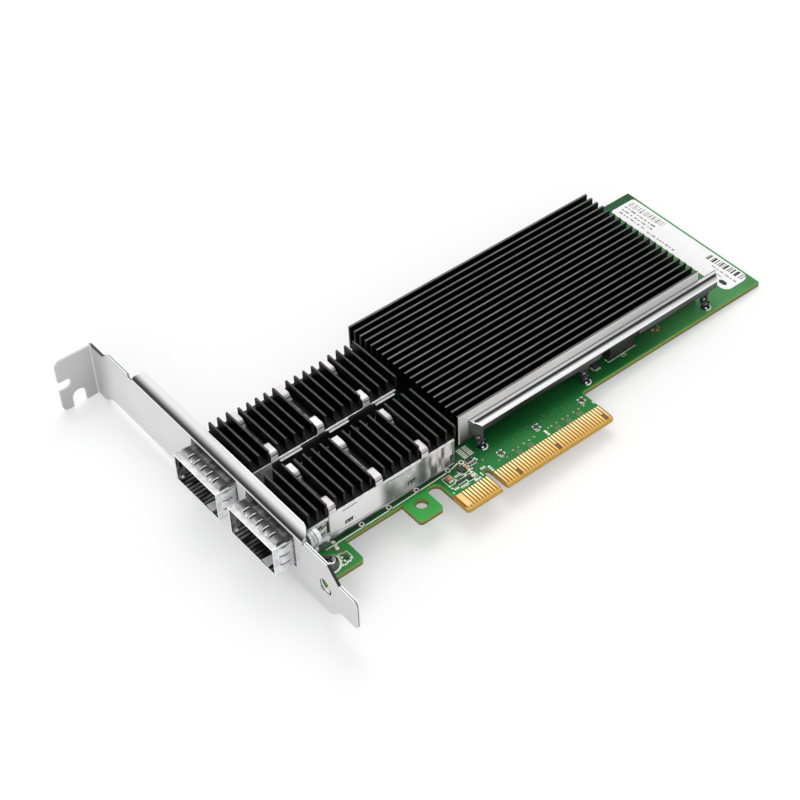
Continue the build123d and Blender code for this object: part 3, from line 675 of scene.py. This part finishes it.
def on_bracket(u, v, w):
    """The outer face of the bracket: u along Y, v along Z."""
    return (FACE_X - w, u, v)


def on_lens(u, v, w):
    """The round front of the light pipe, measured from its middle."""
    return (LENS[0] - w, LENS[1] + u, LENS[2] + v)


def bow(x):
    """Height of the collar's bowed top along X."""
    steps = ((-63.6, 10.1), (-62.1, 10.12), (-61.3, 10.45), (-60.6, 10.66), (-59.9, 10.64), (-58.7, 10.4))
    for (x0, z0), (x1, z1) in zip(steps, steps[1:]):
        if x <= x1:
            return z0 + (z1 - z0) * (x - x0) / (x1 - x0)
    return steps[-1][1]


def on_collar(u, v, w):
    """The bowed top of the collar."""
    return (u, v, bow(u) + w)


def on_collar_side(y):
    """The bowed side wall of the collar round the port at y."""
    return lambda u, v, w: (u, y - CAGE_HALF - (bow(u) - 9.9) - w, v)


def on_collar_corner(u, v, w):
    """The rising corner of the collar's top."""
    return (u, v, 10.2 + max(0.0, u + 62.4) * 0.12 + w)


# Shapes of the small detail


def prism(b, outline, high, place=on_board, low=SUNK):
    """An outline raised from one height to another."""
    rows = [[b.verts.new([c * MM for c in place(u, v, w)]) for u, v in outline] for w in (low, high)]
    b.faces.new(rows[0])
    b.faces.new(rows[1])
    for i in range(len(outline)):
        j = (i + 1) % len(outline)
        b.faces.new((rows[0][i], rows[0][j], rows[1][j], rows[1][i]))


def line(b, points, width, high=0.03, place=on_board):
    """A flat band along a row of points."""
    left, right = [], []
    for i, (u, v) in enumerate(points):
        a, c = Vector(points[max(i - 1, 0)]), Vector(points[min(i + 1, len(points) - 1)])
        d = (c - a).normalized() * width / 2
        left.append((u - d.y, v + d.x))
        right.append((u + d.y, v - d.x))
    prism(b, left + right[::-1], high, place)


def spot(b, u, v, du, dv, high=0.04, place=on_board, cut=0.3):
    """A rectangle with cut corners."""
    k = cut * min(du, dv) / 2
    a, c = du / 2, dv / 2
    prism(b, [(u - a + k, v - c), (u + a - k, v - c), (u + a, v - c + k), (u + a, v + c - k),
              (u + a - k, v + c), (u - a + k, v + c), (u - a, v + c - k), (u - a, v - c + k)], high, place)


def lathe(b, u, v, profile, place=on_board, turns=24, start=0.0, sweep=2 * math.pi):
    """A (radius, height) profile turned round an upright axis, fully or in part."""
    whole = sweep > 6.28
    count = turns if whole else turns + 1
    rings = []
    for i in range(count):
        a = start + sweep * i / turns
        rings.append([b.verts.new([c * MM for c in place(u + r * math.cos(a), v + r * math.sin(a), h)])
                      for r, h in profile])
    for i in range(turns):
        one, two = rings[i], rings[(i + 1) % count]
        for k in range(len(profile) - 1):
            b.faces.new((one[k], two[k], two[k + 1], one[k + 1]))
    if not whole:
        for end in (rings[0], rings[-1]):
            b.faces.new(end)


def ring(b, u, v, inner, outer, high, turns, place=on_board):
    """A flat ring."""
    lathe(b, u, v, [(inner, SUNK), (inner, high), (outer, high), (outer, SUNK)], place, turns)


def disc(b, u, v, radius, high, slope=0.04, turns=12):
    """A round spot with a sloping edge."""
    lathe(b, u, v, [(radius, SUNK), (radius - slope, high), (0.0, high)], turns=turns)


def dome(b, u, v, r, high, place=on_board):
    """A round drop."""
    lathe(b, u, v, [(r, SUNK), (r * 0.92, high * 0.5), (r * 0.6, high * 0.87), (0.0, high)], place, 14)


def box_frame(b, x0, x1, y0, y1, width):
    """Four strokes round a rectangle of the board."""
    corners = ((x0, y0), (x1, y0), (x1, y1), (x0, y1), (x0, y0))
    for a, c in zip(corners, corners[1:]):
        line(b, [a, c], width)


def piece(name, build, look):
    """One detail object: built in mesh code, riding on the card."""
    b = bmesh.new()
    build(b)
    bmesh.ops.remove_doubles(b, verts=b.verts, dist=1e-8)
    bmesh.ops.recalc_face_normals(b, faces=b.faces)
    mesh = bpy.data.meshes.new(name)
    b.to_mesh(mesh)
    b.free()
    mesh.materials.append(look)
    made = link(bpy.data.objects.new(name, mesh))
    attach(made, "root")


# Detail of the board


def silkscreen(b):
    """White frames, rings and strokes, without letters."""
    line(b, [(-48.8, 13.54), (-33.4, 13.50), (-9.73, 13.99), (-6.28, 14.31), (-3.94, 14.88)], 0.36)
    ring(b, *SCREW, 2.8, 3.42, 0.03, turns=48)
    line(b, [(-47.83, 10.38), (-45.03, 9.87), (-45.04, 7.1), (-47.93, 6.39)], 0.2)
    box_frame(b, -11.05, -8.4, 9.7, 13.0, 0.18)
    line(b, [(-5.3, 13.25), (-2.97, 14.05)], 0.2)
    line(b, [(-3.94, 10.75), (-6.0, 10.7), (-6.1, 12.6)], 0.2)
    box_frame(b, -6.1, -3.75, 7.75, 9.95, 0.22)
    for y in (8.0, 8.65, 9.3, 9.85):
        line(b, [(-3.5, y), (-2.7, y + 0.1)], 0.22)
    box_frame(b, -2.2, 0.1, 13.1, 14.25, 0.16)
    for x, y in SMALL_CHIPS:
        line(b, [(x - 0.9, y - 1.15), (x + 0.2, y - 1.2)], 0.2)
        line(b, [(x + 0.3, y + 1.15), (x + 1.1, y + 1.0)], 0.2)
    line(b, [(52.9, 18.5), (53.0, 16.8)], 0.2)
    line(b, [(53.0, 16.8), (63.7, 17.1)], 0.2)
    box_frame(b, 57.6, 59.0, 15.9, 16.7, 0.14)
    for x, y0, y1 in ((-11.7, 6.9, 7.6), (-7.2, 6.9, 7.6), (-1.75, 7.0, 8.4), (38.8, 7.6, 8.6)):
        line(b, [(x, y0), (x + 0.1, y1)], 0.32)


def solder_pads(b):
    """Single pads, ends of the parts, rows of legs, the pad grid and the ringed holes."""
    single = ((-48.6, 6.7), (-47.9, 6.5), (-47.0, 6.8), (-46.3, 6.7), (-8.95, 9.85), (-11.0, 9.7),
              (-47.6, 9.7), (-47.3, 8.9), (-48.0, 8.2), (-47.3, 7.6), (-45.5, 7.4), (-8.3, 10.4),
              (-3.3, 10.2), (-2.4, 10.9), (-5.9, 11.6), (-2.9, 13.2), (-10.9, 8.8), (-5.2, 10.3),
              (0.6, 13.3), (0.7, 12.6), (-4.3, 7.2))
    for x, y in single:
        spot(b, x, y, 0.55, 0.5)
    for x in (-8.65, -7.87, -7.1, -6.33):
        spot(b, x, 8.6, 0.5, 0.32, 0.25)
        spot(b, x, 9.8, 0.5, 0.32, 0.25)
    for x in (-1.83, -1.07, -0.3):
        spot(b, x, 11.75, 0.5, 0.3, 0.25)
        spot(b, x, 12.65, 0.5, 0.3, 0.25)
    for x, y in ((1.5, 8.5), (1.5, 7.7), (1.5, 6.9), (21.5, 8.5), (21.5, 7.8), (21.5, 7.0)):
        spot(b, x, y, 0.75, 0.5)
    for x, y in SMALL_CHIPS:
        for i in (-1, 0, 1):
            for j in (-1, 0, 1):
                if i or j:
                    spot(b, x + i * 0.74, y + j * 0.7, 0.46, 0.36, 0.47 if i * j else 0.05)
    for row in range(7):
        y = 15.05 + row * 0.56
        for x in (-1.65, 0.25):
            line(b, [(x, y), (x + 1.55, y)], 0.3)
    leg_rows = ((-7.7, 11.4, 5), (-5.2, 8.85, 5), (-8.8, 7.5, 5), (-4.4, 7.0, 4), (-2.4, 12.2, 4),
                (-10.6, 8.0, 3), (-0.6, 9.2, 3))
    for first, y, count in leg_rows:
        for k in range(count):
            spot(b, first + k * 0.56, y, 0.3, 0.85, 0.06)
    for x, y, w in ((-9.65, 10.65, 1.3), (-9.65, 12.65, 1.3), (-3.45, 10.75, 0.8), (-3.45, 12.75, 0.8)):
        spot(b, x, y, w, 0.42, 0.5)
    line(b, [(-46.6, 14.5), (-46.2, 14.9), (-45.7, 14.6)], 0.22, 0.2)
    for y in (17.2, 17.75, 18.3):
        spot(b, 47.6, y, 0.6, 0.26, 0.2)
    for x in (48.1, 48.8, 49.5):
        spot(b, x, 16.7, 0.3, 0.5, 0.25)
    dome(b, *BRIGHT_PIN, 0.6, 0.2)
    for x, y in RINGED_HOLES:
        lathe(b, x, y, [(0.42, SUNK), (0.46, 0.12), (0.72, 0.1), (0.8, SUNK)])


def via_dots(b):
    """Open vias in a row behind the contacts."""
    for x in (10.3, 12.1, 14.2, 16.0, 17.9, 24.2, 26.0, 28.2, 30.05, 32.2, 34.1, 36.0):
        disc(b, x, 8.85, 0.32, 0.02)
    for x, y in ((5.0, 8.4), (7.4, 7.95), (1.9, 11.5), (23.0, 8.9)):
        disc(b, x, y, 0.26, 0.02)


def faint_vias(b):
    """Covered vias, a trace, brown rings and the places of the missing contacts."""
    covered = ((3.84, 12.2), (6.0, 13.0), (8.95, 12.0), (11.07, 13.0), (13.1, 12.0), (15.1, 13.0),
               (17.0, 12.0), (19.1, 12.9), (23.2, 12.1), (25.1, 13.0), (27.1, 12.0), (29.1, 13.0),
               (31.1, 12.2), (33.2, 13.0))
    for x, y in covered:
        disc(b, x, y, 0.3, 0.012)
    line(b, [(13.07, 10.9), (12.93, 9.44)], 0.22, 0.012)
    ring(b, *BRIGHT_PIN, 0.7, 1.15, 0.02, turns=28)
    spot(b, -47.7, 12.35, 0.9, 0.4, 0.012)
    for x, y in RINGED_HOLES:
        ring(b, x, y, 0.7, 1.02, 0.03, turns=24)
    for x, y in ((-0.8, 10.6), (0.1, 11.2), (0.8, 10.5), (-0.2, 11.5), (-12.0, 11.0), (-2.2, 9.4)):
        spot(b, x, y, 0.45, 0.35, 0.012)
    for x in MISSING_CONTACTS:
        spot(b, x, 2.2, 0.75, 1.7, 0.01)


def olive_patches(b):
    """Copper areas that show through the mask behind the contacts."""
    for x0, x1 in ((10.0, 12.4), (13.9, 16.3), (23.9, 26.3), (27.9, 30.3), (31.9, 34.4)):
        left, right = x0 + 0.3, x1 - 0.3
        prism(b, [(left, 6.45), (right, 6.45), (right, 7.7), (right - 0.4, 8.1), (left + 0.4, 8.1),
                  (left, 7.7)], 0.008)


def dark_spots(b):
    """Painted shade in the mouths of the ringed holes and round the bar's feet, and dark parts among the
    pads.
    """
    for x, y in RINGED_HOLES:
        spot(b, x, y, 0.75, 0.75, 0.1, cut=0.6)
    for y in (9.36, 8.38):
        spot(b, -4.93, y, 0.75, 0.6, 0.37)
    for x in (-1.77, -1.0, -0.31):
        spot(b, x, 13.72, 0.4, 0.5, 0.37)
    for x in FEET_X:
        disc(b, x, 15.3, 1.3, 0.05, slope=0.05, turns=24)


def foot_solder(b):
    """An arc and a drop of solder at every foot of the bar, white as painted highlights."""
    for x in FEET_X:
        lathe(b, x, 15.2, [(1.1, SUNK), (1.12, 0.2), (1.3, 0.28), (1.46, 0.2), (1.5, SUNK)],
              start=-2.3, sweep=2.3)
        dome(b, x - 0.3, 14.9, 0.4, 0.35)


# Detail of the clips and the collars


def plate_lights(b):
    """Painted highlights on the edges and embossed bars of the clip walls."""
    for x0, x1 in ((-43.7, -31.1), (-28.7, -16.2), (-13.4, -5.0)):
        prism(b, [(x0, 9.98), (x1, 9.98), (x1, 10.48), (x0, 10.48)], 0.09, on_plate, low=-0.34)
    for x0, x1, z in ((-41.9, -37.4, 9.1), (-27.0, -22.2, 9.0)):
        line(b, [(x0, z), (x1, z)], 0.3, 0.08, on_plate)
    prism(b, [(-7.5, 5.4), (-6.2, 5.7), (-6.2, 5.95), (-7.5, 5.65)], 0.12, on_plate)
    prism(b, [(-43.6, 2.1), (-42.2, 1.95), (-42.2, 2.5), (-43.4, 2.7)], 0.10, on_plate)
    for x in LATCHES_X:
        line(b, [(x - 0.9, 4.25), (x - 0.3, 4.75)], 0.22, 0.03, on_plate)
        spot(b, x + 0.5, 4.5, 0.35, 0.3, 0.03, on_plate)
    for x0, x1 in ((-46.0, -36.8), (-28.5, -21.0), (-13.0, -4.9)):
        prism(b, [(x0, 10.1), (x1, 10.1), (x1, 10.43), (x0, 10.43)], 0.12, on_far_plate, low=-0.3)
    for x0, x1 in ((-43.6, -37.0), (-27.6, -21.6), (-12.0, -6.0)):
        prism(b, [(x0, 9.5), (x1, 9.5), (x1 + 0.4, 9.72), (x0 + 0.4, 9.72)], 0.75, on_far_plate)
    prism(b, [(-52.3, 9.9), (-46.2, 9.9), (-46.2, 10.1), (-52.3, 10.1)], -0.05, on_far_plate, low=-0.35)


def plate_darks(b):
    """Slits, openings and shaded lines of the clip walls, painted dark as shade."""
    for x0, x1, z in ((-41.9, -37.2, 9.38), (-27.0, -22.0, 9.28)):
        line(b, [(x0, z), (x1, z)], 0.15, 0.05, on_plate)
    for x in LATCHES_X:
        prism(b, [(x - 1.5, 4.0), (x - 0.5, 4.05), (x + 0.3, 4.3), (x + 1.1, 4.5), (x + 1.5, 5.4),
                  (x + 1.0, 5.2), (x + 0.4, 5.0), (x - 0.2, 5.1), (x - 0.9, 4.7)], 0.02, on_plate, low=-0.15)
    line(b, [(-7.65, 1.6), (-7.6, 5.3)], 0.12, 0.06, on_plate)
    line(b, [(-7.55, 3.2), (-5.0, 3.5)], 0.12, 0.06, on_plate)


def plate_greys(b):
    """Painted shade: faint lines, a ring and folds low on the near clip wall."""
    line(b, [(-44.2, 2.95), (-35.7, 2.45), (-26.5, 2.6)], 0.1, 0.03, on_plate)
    prism(b, [(-42.2, 1.35), (-39.2, 1.2), (-39.0, 1.9), (-42.2, 2.0)], 0.08, on_plate)
    oval = [(-22.7 + 0.75 * math.cos(t * 0.5), 2.35 + 0.32 * math.sin(t * 0.5)) for t in range(13)]
    line(b, oval, 0.09, 0.03, on_plate)
    prism(b, [(-6.6, 2.0), (-5.0, 1.9), (-5.0, 5.2), (-6.6, 5.4)], 0.07, on_plate)


def collar_dimples(b):
    """Dimples of the collar tops, and the dots and folds seen in the mouths, white as painted highlights."""
    for y in PORTS:
        dome(b, -61.75, y + 4.07, 0.34, 0.26, on_collar)
        dome(b, -61.7, y - 4.35, 0.36, 0.26, on_collar)
        dome(b, -62.1, y + 8.9, 0.5, 0.5, flat(1.02))
        line(b, [(-63.4, y + 9.15), (-62.4, y + 9.05)], 0.16, 0.05, on_mouth_floor)
        prism(b, [(-63.4, y - 6.3), (-63.2, y - 3.3), (-60.4, y - 3.5), (-60.2, y - 6.2)], 0.02,
              on_mouth_floor)
        prism(b, [(-63.45, y - 9.68), (-59.3, y - 9.68), (-59.3, y - 9.3), (-63.45, y - 9.3)], 0.14,
              flat(10.1))
    dome(b, -61.9, PORTS[0] - 0.9, 0.26, 0.18, on_collar)


def slits_of(port):
    """Places of the slits between the spring fingers of one collar."""
    return [port + FIRST_SLIT - k * SLIT_PITCH for k in range(5)]


def slit_lights(b):
    """Painted highlight on the flank of every slit."""
    for port in PORTS:
        for slit in slits_of(port):
            v = slit + 0.32
            line(b, [(-61.7, v), (-61.3, v), (-60.6, v), (-59.9, v), (-59.5, v)], 0.2, 0.11, on_collar)


def slit_darks(b):
    """Painted shade for the slits, the gap behind the corner bar and the slits of the side walls."""
    for y in PORTS:
        for v in slits_of(y):
            line(b, [(-61.5, v), (-61.0, v), (-60.6, v), (-60.2, v), (-59.8, v), (-59.4, v)], 0.46, 0.1,
                 on_collar)
        prism(b, [(-62.4, y - 9.42), (-57.6, y - 9.42), (-57.6, y - 8.2), (-59.3, y - 8.3),
                  (-61.0, y - 8.6)], 0.04, on_collar_corner)
        for z in (3.82, 6.86):
            line(b, [(-61.9, z), (-61.3, z), (-60.6, z), (-59.9, z), (-59.2, z)], 0.3, 0.05,
                 on_collar_side(y))
        line(b, [(-57.55, 2.0), (-57.55, 8.8)], 0.1, 0.05, wall(y - 10.0))


# Detail of the light pipe, the bracket, the label and the bar


def pipe_lights(b):
    """Painted highlights along seams of the cage wall and of the light pipe's foot."""
    prism(b, [(-53.2, 9.25), (-46.3, 9.05), (-46.3, 9.75), (-53.2, 9.85)], 0.06, on_cage)
    line(b, [(-49.4, 5.6), (-48.2, 6.2), (-47.0, 6.7)], 0.6, 0.05, on_cage)
    line(b, [(-50.6, 8.5), (-48.8, 8.7), (-47.2, 8.4)], 0.3, 0.05, on_cage)
    prism(b, [(-53.2, 3.5), (-47.1, 3.5), (-47.1, 4.05), (-53.2, 4.05)], 0.05, on_arm, low=-0.8)
    spot(b, -47.5, 3.4, 1.5, 0.7, 0.09, on_arm)
    spot(b, -47.4, 3.3, 0.6, 1.7, 0.10, on_arm)


def pipe_darks(b):
    """Painted shade: strokes on the cage wall, and the groove round the light pipe's front."""
    line(b, [(-50.2, 7.1), (-49.2, 7.6), (-48.3, 8.0)], 0.5, 0.05, on_cage)
    line(b, [(-51.9, 4.6), (-49.6, 4.9), (-47.3, 5.1)], 0.4, 0.05, on_cage)
    prism(b, [(-46.9, 4.3), (-46.1, 4.3), (-46.1, 8.2), (-46.7, 8.5), (-46.9, 7.6)], 0.04, on_cage)
    line(b, [(-48.6, 6.9), (-47.6, 7.4), (-47.0, 7.6)], 0.3, 0.05, on_cage)
    ring(b, 0.0, 0.0, 1.2, 1.36, 0.02, 32, on_lens)


def window_rim(b):
    """Shaded stretches of the round window's wall."""
    for start, end, width in ((1.05, 1.75, 0.3), (2.9, 3.9, 0.45), (5.0, 5.75, 0.3)):
        arc = [start + (end - start) * i / 8 for i in range(9)]
        points = [(WINDOW[0] + WINDOW_RADIUS * math.cos(a), WINDOW[1] + WINDOW_RADIUS * math.sin(a))
                  for a in arc]
        line(b, points, width, 0.02, on_bracket)


def bars_along(b, y0, y1, x0, x1, widths, gap, drift):
    """Plain bars across X, stacked along Y, with widths and gaps that repeat unevenly."""
    y, k = y0, 0
    while y > y1:
        w = widths[k % len(widths)]
        shift = drift * (y0 - y)
        line(b, [(x0 + shift, y), (x1 + shift, y)], w, 0.02, on_label)
        y -= w + gap * (1 + (k * 5 % 3) * 0.5)
        k += 1


def dashes(b, y0, y1, x, width, lengths, gap):
    """One row of plain dashes along Y."""
    y, k = y0, 0
    while y > y1:
        w = lengths[k % len(lengths)]
        line(b, [(x, y), (x, y - w)], width, 0.015, on_label)
        y -= w + gap * (1 + (k * 7 % 3) * 0.4)
        k += 1


def label_bars(b):
    """The dark bars and the plain spot of the label."""
    bars_along(b, 30.5, 17.2, 105.5, 107.9, (0.25, 0.5, 0.2, 0.75, 0.3), 0.32, 0.06)
    spot(b, 101.5, 19.6, 1.5, 3.0, 0.02, on_label, cut=0.9)


def label_lines(b):
    """The grey bars and the rows of dashes of the label."""
    bars_along(b, 63.6, 49.8, 105.3, 107.6, (0.18, 0.3, 0.15, 0.4), 0.34, 0.05)
    dashes(b, 63.8, 50.2, 104.4, 0.55, (1.1, 0.6, 2.0, 0.5, 1.4), 0.4)
    dashes(b, 63.4, 51.2, 102.9, 0.5, (0.7, 1.7, 0.5, 1.0), 0.55)
    dashes(b, 63.0, 52.4, 101.4, 0.5, (1.3, 0.5, 0.8), 0.5)
    dashes(b, 50.8, 39.8, 101.0, 0.5, (0.9, 0.4, 1.3, 0.6), 0.4)
    dashes(b, 27.0, 17.4, 104.5, 0.4, (1.6, 0.8, 1.2), 0.4)


def bar_lines(b):
    """Slit beside the fold at the far end of the bar, and the gap along the heat sink, painted dark as
    shade.
    """
    prism(b, [(96.5, 16.5), (96.7, 16.5), (96.9, 18.3), (96.7, 18.3)], 0.03, on_bar)
    near, far = BAR_REAR_Y, SINK_Y - 0.01
    prism(b, [(3.7, near), (97.4, near), (97.4, far), (3.7, far)], 0.02, on_bar_edge)


piece("silkscreen", silkscreen, ink)
piece("solder_pads", solder_pads, tin)
piece("via_dots", via_dots, bronze)
piece("faint_vias", faint_vias, brown)
piece("olive_patches", olive_patches, copper)
piece("dark_spots", dark_spots, black_parts_and_shade)
piece("foot_solder", foot_solder, painted_highlight_white)
piece("plate_lights", plate_lights, painted_highlight_white)
piece("plate_darks", plate_darks, black_parts_and_shade)
piece("plate_greys", plate_greys, mid_metal)
piece("collar_dimples", collar_dimples, painted_highlight_white)
piece("slit_lights", slit_lights, painted_highlight_white)
piece("slit_darks", slit_darks, black_parts_and_shade)
piece("label_bars", label_bars, print_black)
piece("pipe_lights", pipe_lights, painted_highlight_white)
piece("pipe_darks", pipe_darks, black_parts_and_shade)
piece("window_rim", window_rim, black_parts_and_shade)
piece("label_lines", label_lines, print_grey)
piece("bar_lines", bar_lines, black_parts_and_shade)

# Floor, light, camera


def seen_directly(tree):
    """1 for camera, mirror and clear rays, 0 for the light that spreads from surfaces."""
    path = tree.nodes.new("ShaderNodeLightPath")
    socket = path.outputs["Is Camera Ray"]
    for name in ("Is Glossy Ray", "Is Transmission Ray"):
        most = tree.nodes.new("ShaderNodeMath")
        most.operation = "MAXIMUM"
        tree.links.new(socket, most.inputs[0])
        tree.links.new(path.outputs[name], most.inputs[1])
        socket = most.outputs[0]
    return socket


def floor():
    """A pale floor that the bracket's edge and the far end of the board rest on."""
    bracket_x, bracket_z = -68.9, -9.0
    far_x, far_z = 109.7, -0.95
    slope = (far_z - bracket_z) / (far_x - bracket_x)
    height = (bracket_z - slope * bracket_x) * MM
    reach = 4.0
    corners = [(-reach, -reach), (reach, -reach), (reach, reach), (-reach, reach)]
    mesh = bpy.data.meshes.new("floor")
    b = bmesh.new()
    b.faces.new([b.verts.new((x, y, height + slope * x)) for x, y in corners])
    b.to_mesh(mesh)
    b.free()
    g = Graph("floor_paper")
    seen = Value(g, seen_directly(g.tree))
    tone = g.blend(seen, 0.80, 0.64) * g.tone(0.99, 1.01, 3.0)
    paper = g.done(g.shade((1.0, 1.0, 1.003), tone), rough=0.9, Specular_IOR_Level=0.1,
                   Emission_Color=grey(1.0), Emission_Strength=seen * 0.37)
    mesh.materials.append(paper)
    made = link(bpy.data.objects.new("floor", mesh))


def world():
    """Plain light from all round, a little stronger from above, and a white background."""
    low, high, seen_level = 0.60, 0.88, 1.0
    made = bpy.data.worlds.new("studio")
    made.use_nodes = True
    tree = made.node_tree
    tree.nodes.clear()
    coords = tree.nodes.new("ShaderNodeTexCoord")
    split = tree.nodes.new("ShaderNodeSeparateXYZ")
    tree.links.new(coords.outputs["Generated"], split.inputs[0])
    up = tree.nodes.new("ShaderNodeMapRange")
    tree.links.new(split.outputs[2], up.inputs[0])
    for i, value in enumerate((-0.1, 0.9, low, high), start=1):
        up.inputs[i].default_value = value
    pick = tree.nodes.new("ShaderNodeMix")
    tree.links.new(seen_directly(tree), pick.inputs[0])
    tree.links.new(up.outputs[0], pick.inputs[2])
    pick.inputs[3].default_value = seen_level
    back = tree.nodes.new("ShaderNodeBackground")
    tree.links.new(pick.outputs[0], back.inputs[1])
    out = tree.nodes.new("ShaderNodeOutputWorld")
    tree.links.new(back.outputs[0], out.inputs[0])
    bpy.context.scene.world = made


def lamp(name, place, aim, size, power):
    """A square area light that looks at a point; metres and watts."""
    data = bpy.data.lights.new(name, "AREA")
    data.shape = "SQUARE"
    data.size = size
    data.energy = power
    made = link(bpy.data.objects.new(name, data))
    made.location = place
    made.rotation_euler = (Vector(aim) - Vector(place)).to_track_quat("-Z", "Y").to_euler()


def camera():
    """The photograph's view: azimuth, elevation and roll in degrees, lens in pixels of the picture."""
    width, focal, centre_x, centre_y = 800, 1889.4, 457.406, 355.967
    target, distance = (23.22, 47.21, 0), 532.5
    az, el, roll = (math.radians(v) for v in (-39.465, 43.346, -0.996))
    back = Vector((math.sin(az) * math.cos(el), -math.cos(az) * math.cos(el), math.sin(el)))
    right = (-back).cross(Vector((0, 0, 1))).normalized()
    up = right.cross(-back)
    turned_right = right * math.cos(roll) + up * math.sin(roll)
    turned_up = -right * math.sin(roll) + up * math.cos(roll)
    data = bpy.data.cameras.new("camera")
    data.sensor_width = 36.0
    data.lens = focal / width * data.sensor_width
    data.shift_x = (width / 2 - centre_x) / width
    data.shift_y = (centre_y - width / 2) / width
    data.clip_start, data.clip_end = 0.01, 20.0
    made = link(bpy.data.objects.new("camera", data))
    place = Vector(target) * MM + back * distance * MM
    turn = Matrix((turned_right, turned_up, back)).transposed().to_4x4()
    made.matrix_world = Matrix.Translation(place) @ turn
    bpy.context.scene.camera = made


floor()
world()
lamp("key", place=(0.38, 0.72, 1.30), aim=(0.02, 0.04, 0), size=1.0, power=8.2)
lamp("fill", place=(-0.8, -0.75, 0.75), aim=(0.0, 0.03, 0), size=0.8, power=3.3)
camera()
bpy.context.scene.view_settings.view_transform = "Standard"
